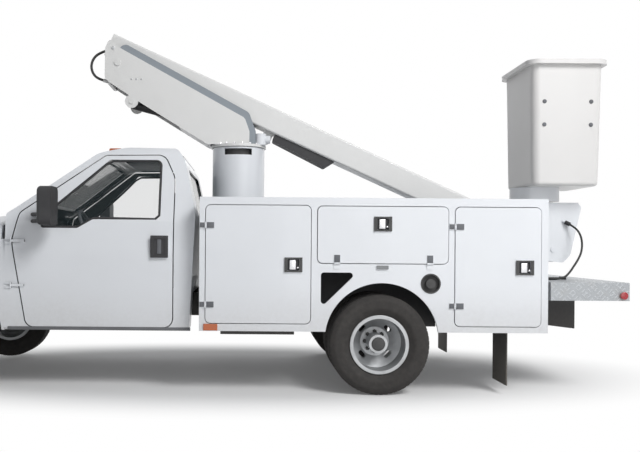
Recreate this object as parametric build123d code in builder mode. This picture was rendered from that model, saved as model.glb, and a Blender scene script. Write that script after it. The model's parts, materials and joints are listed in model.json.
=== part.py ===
# Cherry picker truck: a chassis cab with twin rear wheels, a service body and a telescopic aerial boom.
# Millimetres, +Z up, front of the truck towards -X, driver's side at -Y.
# The origin lies on the ground below the middle of the whole truck.
import os
from math import cos, pi, radians, sin, tan

from build123d import *

os.makedirs("parts", exist_ok=True)

# Lengths along the truck
FRONT_OVERHANG = 965
FIREWALL_BEHIND_AXLE = 516
CAB_LENGTH = 1520
CAB_GAP = 93
BODY_AHEAD = 1447
BODY_BEHIND = 1335
DECK_GAP = 40
DECK_LENGTH = 633
PEDESTAL_AHEAD = 1159

# Boom as it is stowed: its pivot, its slope down to the rear and its levelling pin
PIVOT_AHEAD = 1133
PIVOT_Z = 2884
BOOM_SLOPE = 24.4
BOOM_REACH = 4440
BOOM_UNDER = 20
BOOM_DEPTH = 222
BOOM_WIDTH = 240
BOOM_WALL = 12
INNER_DEPTH = 186
INNER_WIDTH = 204
BUCKET_BEHIND_PIN = 22
BUCKET_LENGTH = 645
BUCKET_WIDTH = 762
BUCKET_Z = (1750, 2889)
BUCKET_WALL = 12
BUCKET_LIP = 45

# Places along X, worked out from the lengths, with the whole truck centred on the origin
slope = radians(BOOM_SLOPE)
LEVEL_PIN_RISE = BOOM_UNDER + BOOM_DEPTH / 2
pin_behind_axle = BOOM_REACH * cos(slope) + LEVEL_PIN_RISE * sin(slope) - PEDESTAL_AHEAD - PIVOT_AHEAD
rear_reach = pin_behind_axle + BUCKET_BEHIND_PIN + BUCKET_LENGTH / 2 + BUCKET_LIP
front_reach = FRONT_OVERHANG + FIREWALL_BEHIND_AXLE + CAB_LENGTH + CAB_GAP + BODY_AHEAD
REAR_AXLE_X = (front_reach - rear_reach) / 2
BODY_FRONT_X = REAR_AXLE_X - BODY_AHEAD
BODY_REAR_X = REAR_AXLE_X + BODY_BEHIND
CAB_BACK_X = BODY_FRONT_X - CAB_GAP
FIREWALL_X = CAB_BACK_X - CAB_LENGTH
FRONT_AXLE_X = FIREWALL_X - FIREWALL_BEHIND_AXLE
BUMPER_X = FRONT_AXLE_X - FRONT_OVERHANG
DECK_X = BODY_REAR_X + DECK_GAP
PEDESTAL_X = REAR_AXLE_X - PEDESTAL_AHEAD
PIVOT_X = PEDESTAL_X - PIVOT_AHEAD
LEVEL_PIN_X = REAR_AXLE_X + pin_behind_axle
LEVEL_PIN_Z = PIVOT_Z - BOOM_REACH * sin(slope) + LEVEL_PIN_RISE * cos(slope)
BUCKET_X = LEVEL_PIN_X + BUCKET_BEHIND_PIN
BOOM = Plane(origin=(PIVOT_X, 0, PIVOT_Z), x_dir=(cos(slope), 0, -sin(slope)), z_dir=(0, -1, 0))

# Clearances: seams between panels, running gaps and pins in their holes
SEAM = 6
CAB_SEAM = 9
RUNNING_GAP = 10
PIN_GAP = 0.5
SEAT_GAP = 0.3

# Hinges of doors and hood: a knuckle on the leaf that moves turns on a pin between two fixed knuckles
HINGE_R = 8
HINGE_PIN_R = 4
KNUCKLE = 20
END_KNUCKLE = 14
knuckle_step = KNUCKLE / 2 + PIN_GAP + END_KNUCKLE / 2

# Wheels
TYRE_D = 799
TYRE_WIDTH = 245
RIM_D = 440
RIM_WIDTH = 200
RIM_WALL = 10
HUB_D = 150
FRONT_TRACK = 1740
TWIN_OUTER_Y = 1060
TWIN_INNER_Y = 740
HAND_HOLES = 4
AXLE_Z = TYRE_D / 2
KINGPIN_INSET = 130
KINGPIN_R = 24
FRONT_WHEEL_Y = FRONT_TRACK / 2
KINGPIN_Y = FRONT_WHEEL_Y - KINGPIN_INSET

# Chassis frame
RAIL_Y = 430
RAIL_WIDTH = 70
RAIL_Z = (560, 760)
RAIL_WALL = 10
AXLE_TUBE_R = 60
BUMPER_WALL = 12
HITCH_LENGTH = 466


def outline(corners):
    """Fill a closed outline given as rows of across, up and corner radius."""
    with BuildLine() as edge:
        FilletPolyline(*[row[:2] for row in corners], radius=[row[2] for row in corners], close=True)
    make_face(edge.edges())


def write(piece, name):
    """Label a finished piece and write it as its own file."""
    piece.part.label = name
    export_step(piece.part, f"parts/{name}.step")


# Frame rails: two channels with their webs outside, joined by cross-members
rail_front = BUMPER_X + BUMPER_WALL
rail_length = DECK_X + HITCH_LENGTH - rail_front
cross_members = (rail_front + 220, FIREWALL_X + 500, CAB_BACK_X - 60, REAR_AXLE_X + 480, DECK_X + 100)
rail_mid_z = sum(RAIL_Z) / 2
FLOOR_Z = 790
CAB_MOUNT = (120, RAIL_WIDTH, FLOOR_Z - RAIL_Z[1] - SEAT_GAP)
CAB_MOUNT_XS = (FIREWALL_X + 300, CAB_BACK_X - 300)
rail_depth = RAIL_Z[1] - RAIL_Z[0]
with BuildPart() as frame_rails:
    with BuildSketch(Plane.YZ.offset(rail_front)):
        with Locations((-RAIL_Y, rail_mid_z), (RAIL_Y, rail_mid_z)):
            Rectangle(RAIL_WIDTH, rail_depth)
        with Locations((-RAIL_Y + RAIL_WALL, rail_mid_z), (RAIL_Y - RAIL_WALL, rail_mid_z)):
            Rectangle(RAIL_WIDTH, rail_depth - 2 * RAIL_WALL, mode=Mode.SUBTRACT)
    extrude(amount=rail_length)
    with Locations(*[(x, 0, rail_mid_z) for x in cross_members]):
        Box(70, 2 * RAIL_Y - RAIL_WIDTH + 2 * RAIL_WIDTH - 2 * RAIL_WALL, 90)
    with Locations(*[(x, y, RAIL_Z[1]) for x in CAB_MOUNT_XS for y in (-RAIL_Y, RAIL_Y)]):
        Box(*CAB_MOUNT, align=(Align.CENTER, Align.CENTER, Align.MIN))
write(frame_rails, "frame_rails")

# Front axle: an arched beam with an eye round each kingpin, hung from the rails by its springs
BEAM_DEPTH = 80
BEAM_WIDTH = 90
BEAM_DROP = 70
EYE_R = 45
EYE_HEIGHT = 90
SPRING_Y = RAIL_Y
SPRING_WIDTH = 64
SPRING_DEPTH = 40
SPRING_LENGTH = 1150
beam_z = AXLE_Z
half_beam = BEAM_DEPTH / 2
beam_shoulder = SPRING_Y - SPRING_WIDTH / 2 - 30
beam_low = beam_shoulder - BEAM_DROP
with BuildPart() as front_axle:
    with BuildSketch(Plane.YZ.offset(FRONT_AXLE_X)):
        outline((
            (-KINGPIN_Y, beam_z - half_beam, 0), (-beam_shoulder, beam_z - half_beam, 40),
            (-beam_low, beam_z - half_beam - BEAM_DROP, 40), (beam_low, beam_z - half_beam - BEAM_DROP, 40),
            (beam_shoulder, beam_z - half_beam, 40), (KINGPIN_Y, beam_z - half_beam, 0),
            (KINGPIN_Y, beam_z + half_beam, 0), (beam_shoulder, beam_z + half_beam, 40),
            (beam_low, beam_z + half_beam - BEAM_DROP, 40), (-beam_low, beam_z + half_beam - BEAM_DROP, 40),
            (-beam_shoulder, beam_z + half_beam, 40), (-KINGPIN_Y, beam_z + half_beam, 0),
        ))
    extrude(amount=BEAM_WIDTH / 2, both=True)
    with Locations((FRONT_AXLE_X, -KINGPIN_Y, AXLE_Z), (FRONT_AXLE_X, KINGPIN_Y, AXLE_Z)):
        Cylinder(EYE_R, EYE_HEIGHT)
        Cylinder(KINGPIN_R + PIN_GAP, EYE_HEIGHT, mode=Mode.SUBTRACT)
write(front_axle, "front_axle")

# Rear axle: tubes with a round differential case in the middle and a hub seat at each end
DIFF_R = 170
SPINDLE_R = 55
with BuildPart() as rear_axle:
    with BuildSketch(Plane.XZ):
        with Locations((REAR_AXLE_X, AXLE_Z)):
            Circle(AXLE_TUBE_R)
    extrude(amount=TWIN_INNER_Y - RIM_WIDTH / 2 - 60, both=True)
    with BuildSketch(Plane.XZ):
        with Locations((REAR_AXLE_X, AXLE_Z)):
            Circle(SPINDLE_R)
    extrude(amount=TWIN_OUTER_Y + 40, both=True)
    with Locations((REAR_AXLE_X, 0, AXLE_Z)):
        Sphere(DIFF_R)
write(rear_axle, "rear_axle")

# Leaf springs: an arched pack on each side of each axle, seated between axle and rail
spring_places = (
    # axle x, seat height, eye height
    (FRONT_AXLE_X, beam_z + half_beam, RAIL_Z[0]),
    (REAR_AXLE_X, AXLE_Z + AXLE_TUBE_R, RAIL_Z[0]),
)
with BuildPart() as leaf_springs:
    for axle_x, seat_z, eye_z in spring_places:
        for side in (-1, 1):
            with BuildSketch(Plane.XZ.offset(-side * SPRING_Y - SPRING_WIDTH / 2)):
                half = SPRING_LENGTH / 2
                outline((
                    (axle_x - half, eye_z, 0), (axle_x - half, eye_z - SPRING_DEPTH, 0),
                    (axle_x - 90, seat_z, 60), (axle_x + 90, seat_z, 60),
                    (axle_x + half, eye_z - SPRING_DEPTH, 0), (axle_x + half, eye_z, 0),
                    (axle_x + 90, seat_z + SPRING_DEPTH, 60), (axle_x - 90, seat_z + SPRING_DEPTH, 60),
                ))
            extrude(amount=SPRING_WIDTH)
write(leaf_springs, "leaf_springs")

# Engine and gearbox as one plain block between the rails
ENGINE = (760, 2 * (RAIL_Y - RAIL_WIDTH / 2) - 60, 560)
ENGINE_MOUNT = (100, 2 * (RAIL_Y - RAIL_WIDTH / 2 - SEAT_GAP), 60)
with BuildPart() as engine_block:
    with Locations((FRONT_AXLE_X + 40, 0, RAIL_Z[0] + ENGINE[2] / 2 + 20)):
        Box(*ENGINE)
    chamfer(engine_block.edges().filter_by(Axis.X).group_by(Axis.Z)[-1], 120)
    with BuildSketch(Plane.YZ.offset(FRONT_AXLE_X + 40 + ENGINE[0] / 2)):
        with Locations((0, RAIL_Z[0] + 60)):
            Circle(140)
    extrude(amount=420)
    with Locations((FRONT_AXLE_X + 40, 0, RAIL_Z[0] + 20)):
        Box(*ENGINE_MOUNT)
write(engine_block, "engine_block")

# Fuel tank below the body's front end, strapped to the left rail
TANK = (585, 215, 250)
TANK_BEHIND_BODY_FRONT = 170
with BuildPart() as fuel_tank:
    tank_y = -(RAIL_Y + RAIL_WIDTH / 2 + TANK[1] / 2)
    with Locations((BODY_FRONT_X + TANK_BEHIND_BODY_FRONT + TANK[0] / 2, tank_y, RAIL_Z[1] - 40 - TANK[2] / 2)):
        Box(*TANK)
    fillet(fuel_tank.edges().filter_by(Axis.X), 40)
write(fuel_tank, "fuel_tank")

# Front wheels: knuckle with kingpin and spindle, steel rim with a dished disc, and tyre
KNUCKLE_ARM = 60
SPINDLE_END_R = 32
FRONT_HUB_LENGTH = 105
knuckle_reach = FRONT_WHEEL_Y + 20
DISC_OUTSET = 60
DISC_WALL = 12
HAND_HOLE = (70, 34)
HAND_HOLE_PCD = 300
STUD_PCD = 190
BEAD = 18
SIDEWALL_R = 40


def add_rim(wheel_x, wheel_y, disc_y, side, bore_r):
    """A drop-centre rim with its dished disc at disc_y, on an axle line along Y."""
    half = RIM_WIDTH / 2
    rim_r = RIM_D / 2
    flange_r = rim_r + BEAD
    with BuildSketch(Plane(origin=(wheel_x, 0, AXLE_Z), x_dir=(0, 1, 0), z_dir=(1, 0, 0))) as section:
        outline((
            (wheel_y - half, flange_r, 4), (wheel_y - half, rim_r - RIM_WALL, 0),
            (wheel_y + half, rim_r - RIM_WALL, 0), (wheel_y + half, flange_r, 4),
            (wheel_y + half - RIM_WALL, flange_r, 4), (wheel_y + half - RIM_WALL, rim_r, 0),
            (wheel_y - half + RIM_WALL, rim_r, 0), (wheel_y - half + RIM_WALL, flange_r, 4),
        ))
        hub_y = disc_y + side * DISC_OUTSET
        outline((
            (disc_y, rim_r - RIM_WALL + 1, 0), (disc_y + side * DISC_WALL, rim_r - RIM_WALL + 1, 0),
            (hub_y + side * DISC_WALL, STUD_PCD / 2 + 25, 12), (hub_y + side * DISC_WALL, bore_r, 0),
            (hub_y, bore_r, 0), (hub_y, STUD_PCD / 2 + 25, 12),
        ))
    revolve(section.sketch, axis=Axis((wheel_x, 0, AXLE_Z), (0, 1, 0)))
    with BuildSketch(Plane(origin=(wheel_x, disc_y, AXLE_Z), x_dir=(1, 0, 0), z_dir=(0, 1, 0))) as holes:
        with PolarLocations(HAND_HOLE_PCD / 2, HAND_HOLES, start_angle=45):
            with Locations(Rotation(0, 0, 90)):
                SlotOverall(HAND_HOLE[0], HAND_HOLE[1])
    extrude(holes.sketch, amount=DISC_OUTSET + DISC_WALL, both=True, mode=Mode.SUBTRACT)


def add_tyre(wheel_x, wheel_y):
    """A road tyre seated on the rim between its flanges."""
    half = TYRE_WIDTH / 2
    seat = RIM_WIDTH / 2 - RIM_WALL - SEAT_GAP
    bead_r = RIM_D / 2 + SEAT_GAP
    outer_r = TYRE_D / 2
    with BuildSketch(Plane(origin=(wheel_x, 0, AXLE_Z), x_dir=(0, 1, 0), z_dir=(1, 0, 0))) as section:
        outline((
            (wheel_y - seat, bead_r, 0), (wheel_y + seat, bead_r, 0), (wheel_y + seat, bead_r + BEAD + 6, 0),
            (wheel_y + half, bead_r + 70, SIDEWALL_R), (wheel_y + half, outer_r - 40, SIDEWALL_R),
            (wheel_y + half - 26, outer_r, 14), (wheel_y - half + 26, outer_r, 14),
            (wheel_y - half, outer_r - 40, SIDEWALL_R), (wheel_y - half, bead_r + 70, SIDEWALL_R),
            (wheel_y - seat, bead_r + BEAD + 6, 0),
        ))
    revolve(section.sketch, axis=Axis((wheel_x, 0, AXLE_Z), (0, 1, 0)))


for side_name, side in (("left", -1), ("right", 1)):
    wheel_y = side * FRONT_WHEEL_Y
    with BuildPart() as knuckle:
        with Locations((FRONT_AXLE_X, side * KINGPIN_Y, AXLE_Z)):
            Cylinder(KINGPIN_R, EYE_HEIGHT + 2 * KNUCKLE_ARM)
        for end in (-1, 1):
            with Locations((FRONT_AXLE_X, side * (KINGPIN_Y + 30), AXLE_Z + end * (EYE_HEIGHT + KNUCKLE_ARM) / 2)):
                Box(90, 120, KNUCKLE_ARM - 2 * SEAT_GAP)
        with Locations((FRONT_AXLE_X, side * (KINGPIN_Y + 75), AXLE_Z)):
            Box(90, 30, EYE_HEIGHT + 2 * KNUCKLE_ARM)
        with BuildSketch(Plane.XZ.offset(-side * (KINGPIN_Y + 75))):
            with Locations((FRONT_AXLE_X, AXLE_Z)):
                Circle(SPINDLE_END_R)
        extrude(amount=-side * (knuckle_reach + 75 - KINGPIN_Y))
    write(knuckle, f"knuckle_{side_name}")

    with BuildPart() as front_rim:
        add_rim(FRONT_AXLE_X, wheel_y, wheel_y + side * 10, side, SPINDLE_END_R + PIN_GAP)
        with BuildSketch(Plane.XZ.offset(-wheel_y - side * 10)):
            with Locations((FRONT_AXLE_X, AXLE_Z)):
                Circle(HUB_D / 2)
                Circle(SPINDLE_END_R + PIN_GAP, mode=Mode.SUBTRACT)
        extrude(amount=-side * FRONT_HUB_LENGTH)
    write(front_rim, f"front_rim_{side_name}")

    with BuildPart() as front_tyre:
        add_tyre(FRONT_AXLE_X, wheel_y)
    write(front_tyre, f"front_tyre_{side_name}")

    # Rear twin wheels: two dished discs bolted face to face on one hub
    outer_y, inner_y = side * TWIN_OUTER_Y, side * TWIN_INNER_Y
    mate_y = (outer_y + inner_y) / 2
    with BuildPart() as twin_rims:
        add_rim(REAR_AXLE_X, outer_y, mate_y + side * (DISC_OUTSET + DISC_WALL), -side, SPINDLE_R + PIN_GAP)
        add_rim(REAR_AXLE_X, inner_y, mate_y - side * (DISC_OUTSET + DISC_WALL), side, SPINDLE_R + PIN_GAP)
        with BuildSketch(Plane.XZ.offset(-mate_y)):
            with Locations((REAR_AXLE_X, AXLE_Z)):
                Circle(HUB_D / 2)
                Circle(SPINDLE_R + PIN_GAP, mode=Mode.SUBTRACT)
        extrude(amount=TWIN_OUTER_Y - abs(mate_y) + 50, both=True)
    write(twin_rims, f"rear_rims_{side_name}")

    with BuildPart() as twin_tyres:
        add_tyre(REAR_AXLE_X, outer_y)
        add_tyre(REAR_AXLE_X, inner_y)
    write(twin_tyres, f"rear_tyres_{side_name}")

# Cab: one skin from its side and front outlines, then cut into shell, doors and glass
CAB_HALF_WIDTH = 1015
CAB_ROOF_HALF = 790
CAB_ROOF_Z = 2010
BELT_Z = 1380
ROCKER_Z = 482
ROCKER_DEPTH = 195
CAB_WALL = 40
GLASS_INSET = 15
GLASS_WALL = 5
WINDSCREEN_TOP = (-790, 1965)
WINDSCREEN_FOOT = (-1440, 1494)
cab_side = (
    # ahead of the cab's back (negative), height, corner radius
    (0, ROCKER_Z, 30), (44, 1450, 400), (-57, 1907, 200), (-127, CAB_ROOF_Z, 60),
    (-560, CAB_ROOF_Z + 8, 400), (*WINDSCREEN_TOP, 220), (*WINDSCREEN_FOOT, 60),
    (-CAB_LENGTH, 1440, 30), (-CAB_LENGTH, ROCKER_Z, 30),
)
cab_front = (
    # across, height, corner radius
    (-CAB_HALF_WIDTH, ROCKER_Z, 30), (-CAB_HALF_WIDTH, 1120, 500), (-CAB_HALF_WIDTH + 25, BELT_Z, 120),
    (-CAB_ROOF_HALF, CAB_ROOF_Z + 20, 120), (CAB_ROOF_HALF, CAB_ROOF_Z + 20, 120),
    (CAB_HALF_WIDTH - 25, BELT_Z, 120), (CAB_HALF_WIDTH, 1120, 500), (CAB_HALF_WIDTH, ROCKER_Z, 30),
)
cab_far = 2 * CAB_LENGTH


def cab_form(inset, bottom_z):
    """The cab's solid form, drawn in by an inset on every side and cut off at a height."""
    with BuildSketch(Plane.XZ) as side_view:
        outline([(CAB_BACK_X + x, z, radius) for x, z, radius in cab_side])
        if inset:
            offset(amount=-inset, mode=Mode.REPLACE)
        with Locations((CAB_BACK_X, bottom_z + cab_far)):
            Rectangle(2 * cab_far, 2 * cab_far, mode=Mode.INTERSECT)
    with BuildSketch(Plane.YZ.offset(CAB_BACK_X)) as front_view:
        outline(cab_front)
        if inset:
            offset(amount=-inset, mode=Mode.REPLACE)
    with BuildPart() as form:
        extrude(side_view.sketch, amount=cab_far, both=True)
        extrude(front_view.sketch, amount=cab_far, both=True, mode=Mode.INTERSECT)
    return form.part


door_rows = (
    # ahead of the cab's back, height, corner radius
    (-139, 513, 70), (-139, 1750, 200), (-230, 1945, 90), (-725, 1938, 60), (-1405, 1446, 60),
    (-1462, 1215, 200), (-1336, 513, 70),
)
window_rows = (
    (-246, 1905, 50), (-690, 1905, 40), (-1230, 1420, 20), (-1230, 1322, 20), (-928, 1322, 40),
    (-803, 1395, 40), (-246, 1395, 30),
)
WINDSCREEN_ROWS = ((-850, 1520, 60), (850, 1520, 60), (705, 1925, 60), (-705, 1925, 60))
REAR_WINDOW = (1240, 400, 1650)


def cab_prism(rows, growth):
    """A side outline grown by a margin and carried through the left half of the cab."""
    with BuildSketch(Plane.XZ) as shape:
        outline([(CAB_BACK_X + x, z, radius) for x, z, radius in rows])
        if growth:
            offset(amount=growth, mode=Mode.REPLACE)
    with BuildPart() as prism:
        extrude(shape.sketch, amount=2 * CAB_HALF_WIDTH)
    return prism.part


def door_space(growth):
    """The space of the left door: its outline, kept out of the sill behind its lower half."""
    with BuildPart() as space:
        add(cab_prism(door_rows, growth))
        sill_y = CAB_HALF_WIDTH - CAB_WALL - growth
        sill_top = FLOOR_Z + CAB_WALL + growth
        with Locations((CAB_BACK_X, 0, 0)):
            Box(2 * cab_far, 2 * sill_y, 2 * sill_top, mode=Mode.SUBTRACT)
    return space.part


cab_skin_form = cab_form(0, ROCKER_Z) - cab_form(CAB_WALL, FLOOR_Z + CAB_WALL)
glass_form = cab_form(GLASS_INSET, ROCKER_Z) - cab_form(GLASS_INSET + GLASS_WALL, ROCKER_Z)
left_opening = door_space(CAB_SEAM)
right_opening = left_opening.mirror(Plane.XZ)

with BuildSketch(Plane.YZ.offset(CAB_BACK_X - 600)) as windscreen_face:
    outline(WINDSCREEN_ROWS)
with BuildSketch(Plane.YZ.offset(CAB_BACK_X - 300)) as rear_window_face:
    with Locations((0, REAR_WINDOW[2])):
        RectangleRounded(REAR_WINDOW[0], REAR_WINDOW[1], 60)

# Cab door hinges, just outside the skin at the door's front edge
DOOR_HINGE_X = CAB_BACK_X - 1466
DOOR_HINGE_Y = CAB_HALF_WIDTH + 10
DOOR_HINGE_ZS = (850, 1215)
DOOR_LEAF = (46, 32)
DOOR_STRAP = (110, 8)
STRAP_PAD = (35, 32)

with BuildPart() as cab_shell:
    add(cab_skin_form)
    with Locations((CAB_BACK_X, 0, 0)):
        Box(2 * cab_far, 2 * (CAB_HALF_WIDTH - ROCKER_DEPTH), 2 * FLOOR_Z, mode=Mode.SUBTRACT)
    add([left_opening, right_opening], mode=Mode.SUBTRACT)
    extrude(windscreen_face.sketch, amount=-cab_far, mode=Mode.SUBTRACT)
    extrude(rear_window_face.sketch, amount=cab_far, mode=Mode.SUBTRACT)
    for side in (-1, 1):
        for z in DOOR_HINGE_ZS:
            for end_z in (z - knuckle_step, z + knuckle_step):
                with Locations((DOOR_HINGE_X, side * DOOR_HINGE_Y, end_z)):
                    Cylinder(HINGE_R, END_KNUCKLE)
                with Locations((DOOR_HINGE_X - DOOR_LEAF[0] / 2, side * (DOOR_HINGE_Y - DOOR_LEAF[1] / 2), end_z)):
                    Box(*DOOR_LEAF, END_KNUCKLE)
            with Locations((DOOR_HINGE_X, side * DOOR_HINGE_Y, z)):
                Cylinder(HINGE_PIN_R, 2 * knuckle_step)
write(cab_shell, "cab_shell")

with BuildSketch(Plane.YZ.offset(CAB_BACK_X - 600)) as windscreen_pane:
    outline(WINDSCREEN_ROWS)
    offset(amount=-SEAT_GAP, mode=Mode.REPLACE)
with BuildPart() as windscreen:
    add(glass_form)
    extrude(windscreen_pane.sketch, amount=-cab_far, mode=Mode.INTERSECT)

with BuildSketch(Plane.YZ.offset(CAB_BACK_X - 300)) as rear_pane:
    with Locations((0, REAR_WINDOW[2])):
        RectangleRounded(REAR_WINDOW[0], REAR_WINDOW[1], 60)
    offset(amount=-SEAT_GAP, mode=Mode.REPLACE)
with BuildPart() as rear_window:
    add(glass_form)
    extrude(rear_pane.sketch, amount=cab_far, mode=Mode.INTERSECT)
with BuildPart() as cab_glass:
    add([windscreen.part, rear_window.part])
write(cab_glass, "cab_glass")

# Doors with their handles, glass and mirrors; the right side mirrors the left
HANDLE_X = (-315, -175)
HANDLE_Z = (1086, 1262)
HANDLE_PROUD = 18
MIRROR = (114, 230, 306)
MIRROR_AT = (-1113, 1491)
MIRROR_OUT = 110
MIRROR_FOOT_X = -1300
ARM_R = 16
mirror_y = -(CAB_HALF_WIDTH + MIRROR_OUT + MIRROR[1] / 2)
foot_y = -(CAB_HALF_WIDTH - 30)

with BuildPart() as left_door:
    add(cab_skin_form)
    add(door_space(0), mode=Mode.INTERSECT)
    add(cab_prism(window_rows, 0), mode=Mode.SUBTRACT)
    handle_x, handle_z = sum(HANDLE_X) / 2, sum(HANDLE_Z) / 2
    with BuildSketch(Plane.XZ.offset(CAB_HALF_WIDTH - CAB_WALL / 2)):
        with Locations((CAB_BACK_X + handle_x, handle_z)):
            RectangleRounded(HANDLE_X[1] - HANDLE_X[0], HANDLE_Z[1] - HANDLE_Z[0], 24)
    extrude(amount=CAB_WALL / 2 + HANDLE_PROUD)
    for z in DOOR_HINGE_ZS:
        with Locations((DOOR_HINGE_X, -DOOR_HINGE_Y, z)):
            Cylinder(HINGE_R, KNUCKLE)
        with Locations((DOOR_HINGE_X + DOOR_STRAP[0] / 2, -DOOR_HINGE_Y, z)):
            Box(*DOOR_STRAP, KNUCKLE)
        pad_y = DOOR_HINGE_Y + DOOR_STRAP[1] / 2 - STRAP_PAD[1] / 2
        with Locations((DOOR_HINGE_X + DOOR_STRAP[0] - STRAP_PAD[0] / 2, -pad_y, z)):
            Box(*STRAP_PAD, KNUCKLE)
        with Locations((DOOR_HINGE_X, -DOOR_HINGE_Y, z)):
            Cylinder(HINGE_PIN_R + PIN_GAP, KNUCKLE, mode=Mode.SUBTRACT)

with BuildPart() as left_glass:
    add(glass_form)
    add(cab_prism(window_rows, -SEAT_GAP), mode=Mode.INTERSECT)

with BuildPart() as left_mirror:
    with Locations((CAB_BACK_X + MIRROR_AT[0], mirror_y, MIRROR_AT[1])):
        Box(*MIRROR)
    fillet(left_mirror.edges().filter_by(Axis.X), 45)
    fillet(left_mirror.faces().sort_by(Axis.X)[0].edges(), 30)
    for arm_z in (MIRROR_AT[1] - 115, MIRROR_AT[1] - 60):
        foot = (CAB_BACK_X + MIRROR_FOOT_X, foot_y, arm_z)
        knee = (CAB_BACK_X + MIRROR_AT[0], mirror_y, arm_z)
        with BuildLine():
            Line(foot, knee)
        with BuildSketch(Plane(origin=foot, z_dir=Vector(*knee) - Vector(*foot))):
            Circle(ARM_R)
        sweep()
    add(left_door.part, mode=Mode.SUBTRACT)
    add(cab_form(0, ROCKER_Z), mode=Mode.SUBTRACT)

for name, left_piece in (("cab_door", left_door), ("door_glass", left_glass), ("mirror", left_mirror)):
    write(left_piece, f"{name}_left")
    with BuildPart() as right_piece:
        mirror(left_piece.part, about=Plane.XZ)
    write(right_piece, f"{name}_right")

# Inside the cab: bench seat, dashboard and steering wheel
SEAT_HALF = 720
DASH_HALF = 930
cabin_floor = FLOOR_Z + CAB_WALL
seat_rows = (
    (-160, cabin_floor, 20), (-130, 1640, 50), (-230, 1650, 50), (-330, 1180, 60), (-690, 1210, 60),
    (-690, 1040, 40), (-560, 1000, 30), (-560, cabin_floor, 20),
)
dash_front = -CAB_LENGTH + CAB_WALL + SEAT_GAP
dash_rows = (
    (dash_front, 1000, 20), (-1200, 1000, 40), (-1130, 1180, 50), (-1190, 1330, 60), (dash_front, 1390, 20),
)
with BuildPart() as bench_seat:
    with BuildSketch(Plane.XZ):
        outline([(CAB_BACK_X + x, z, radius) for x, z, radius in seat_rows])
    extrude(amount=SEAT_HALF, both=True)
write(bench_seat, "bench_seat")

with BuildPart() as dashboard:
    with BuildSketch(Plane.XZ):
        outline([(CAB_BACK_X + x, z, radius) for x, z, radius in dash_rows])
    extrude(amount=DASH_HALF, both=True)
write(dashboard, "dashboard")

WHEEL_R = 190
WHEEL_TUBE_R = 16
WHEEL_AT = (CAB_BACK_X - 960, -380, 1310)
COLUMN_LENGTH = 210
wheel_plane = Plane(origin=WHEEL_AT, x_dir=(0, 1, 0), z_dir=(-cos(radians(25)), 0, -sin(radians(25))))
with BuildPart() as steering_wheel:
    with BuildSketch(Plane(origin=WHEEL_AT, x_dir=wheel_plane.x_dir, z_dir=wheel_plane.y_dir)) as grip:
        with Locations((WHEEL_R, 0)):
            Circle(WHEEL_TUBE_R)
    revolve(axis=Axis(WHEEL_AT, wheel_plane.z_dir))
    with BuildSketch(wheel_plane.offset(-8)):
        Rectangle(2 * WHEEL_R, 40)
        Circle(65)
    extrude(amount=16)
    with BuildSketch(wheel_plane):
        Circle(38)
    extrude(amount=COLUMN_LENGTH)
    add(dashboard.part, mode=Mode.SUBTRACT)
write(steering_wheel, "steering_wheel")

# Roof lamps: five low domes along the roof's front edge
LAMP_YS = (-560, -130, 0, 130, 560)
with BuildPart() as roof_lamps:
    with Locations(*[(CAB_BACK_X - 690, y, CAB_ROOF_Z) for y in LAMP_YS]):
        Box(110, 50, 2 * 24)
    fillet(roof_lamps.faces().sort_by(Axis.Z)[-5:].edges(), 14)
    add(cab_form(0, ROCKER_Z), mode=Mode.SUBTRACT)

# Front end: one skin from its side, plan and front outlines, then cut into fenders, hood and openings
NOSE_X = BUMPER_X + 95
NOSE_HALF = 900
FENDER_HALF = 1015
HOOD_REAR_Z = 1436
HOOD_FRONT_Z = 1300
NOSE_Z = 770
ARCH_R = 500
ARCH_RISE = 30
FENDER_WALL = 40
HOOD_HALF = 850
HOOD_SIDE_Z = 1215
COWL = 34
front_side_rows = (
    (FIREWALL_X - SEAT_GAP, ROCKER_Z, 0), (FIREWALL_X - SEAT_GAP, HOOD_REAR_Z, 0),
    (NOSE_X + 40, HOOD_FRONT_Z, 110), (NOSE_X, NOSE_Z, 60), (FRONT_AXLE_X - 300, NOSE_Z, 0),
    (FRONT_AXLE_X, ROCKER_Z, 0),
)
PLAN_SPARE = 2
plan_half = FENDER_HALF + PLAN_SPARE
front_plan_rows = (
    (FIREWALL_X - SEAT_GAP, -plan_half, 0), (FRONT_AXLE_X - 250, -plan_half, 600), (NOSE_X, -NOSE_HALF, 170),
    (NOSE_X, NOSE_HALF, 170), (FRONT_AXLE_X - 250, plan_half, 600), (FIREWALL_X - SEAT_GAP, plan_half, 0),
)
front_section_rows = (
    (-FENDER_HALF, 400, 0), (-FENDER_HALF, 1080, 300), (-FENDER_HALF + 70, 1340, 110), (-650, HOOD_REAR_Z + 4, 400),
    (650, HOOD_REAR_Z + 4, 400), (FENDER_HALF - 70, 1340, 110), (FENDER_HALF, 1080, 300), (FENDER_HALF, 400, 0),
)
front_far = 2 * FRONT_OVERHANG + FIREWALL_BEHIND_AXLE


def front_form(inset):
    """The solid form of the front end, drawn in by an inset."""
    views = []
    for plane, rows in (
        (Plane.XZ, front_side_rows), (Plane.XY, front_plan_rows), (Plane.YZ.offset(FRONT_AXLE_X), front_section_rows),
    ):
        with BuildSketch(plane) as view:
            outline(rows)
            if inset:
                offset(amount=-inset, mode=Mode.REPLACE)
        views.append(view.sketch)
    with BuildPart() as form:
        extrude(views[0], amount=front_far, both=True)
        extrude(views[1], amount=front_far, both=True, mode=Mode.INTERSECT)
        extrude(views[2], amount=front_far, both=True, mode=Mode.INTERSECT)
    return form.part


def hood_space(growth):
    """The space of the hood: the top of the nose between the fenders, short of the cowl."""
    with BuildPart() as space:
        with Locations(((NOSE_X + FIREWALL_X - COWL) / 2 - 50 + growth / 2, 0, HOOD_SIDE_Z - growth + 250)):
            Box(FIREWALL_X - COWL - NOSE_X + 100 + growth, 2 * (HOOD_HALF + growth), 500)
    return space.part


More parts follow.
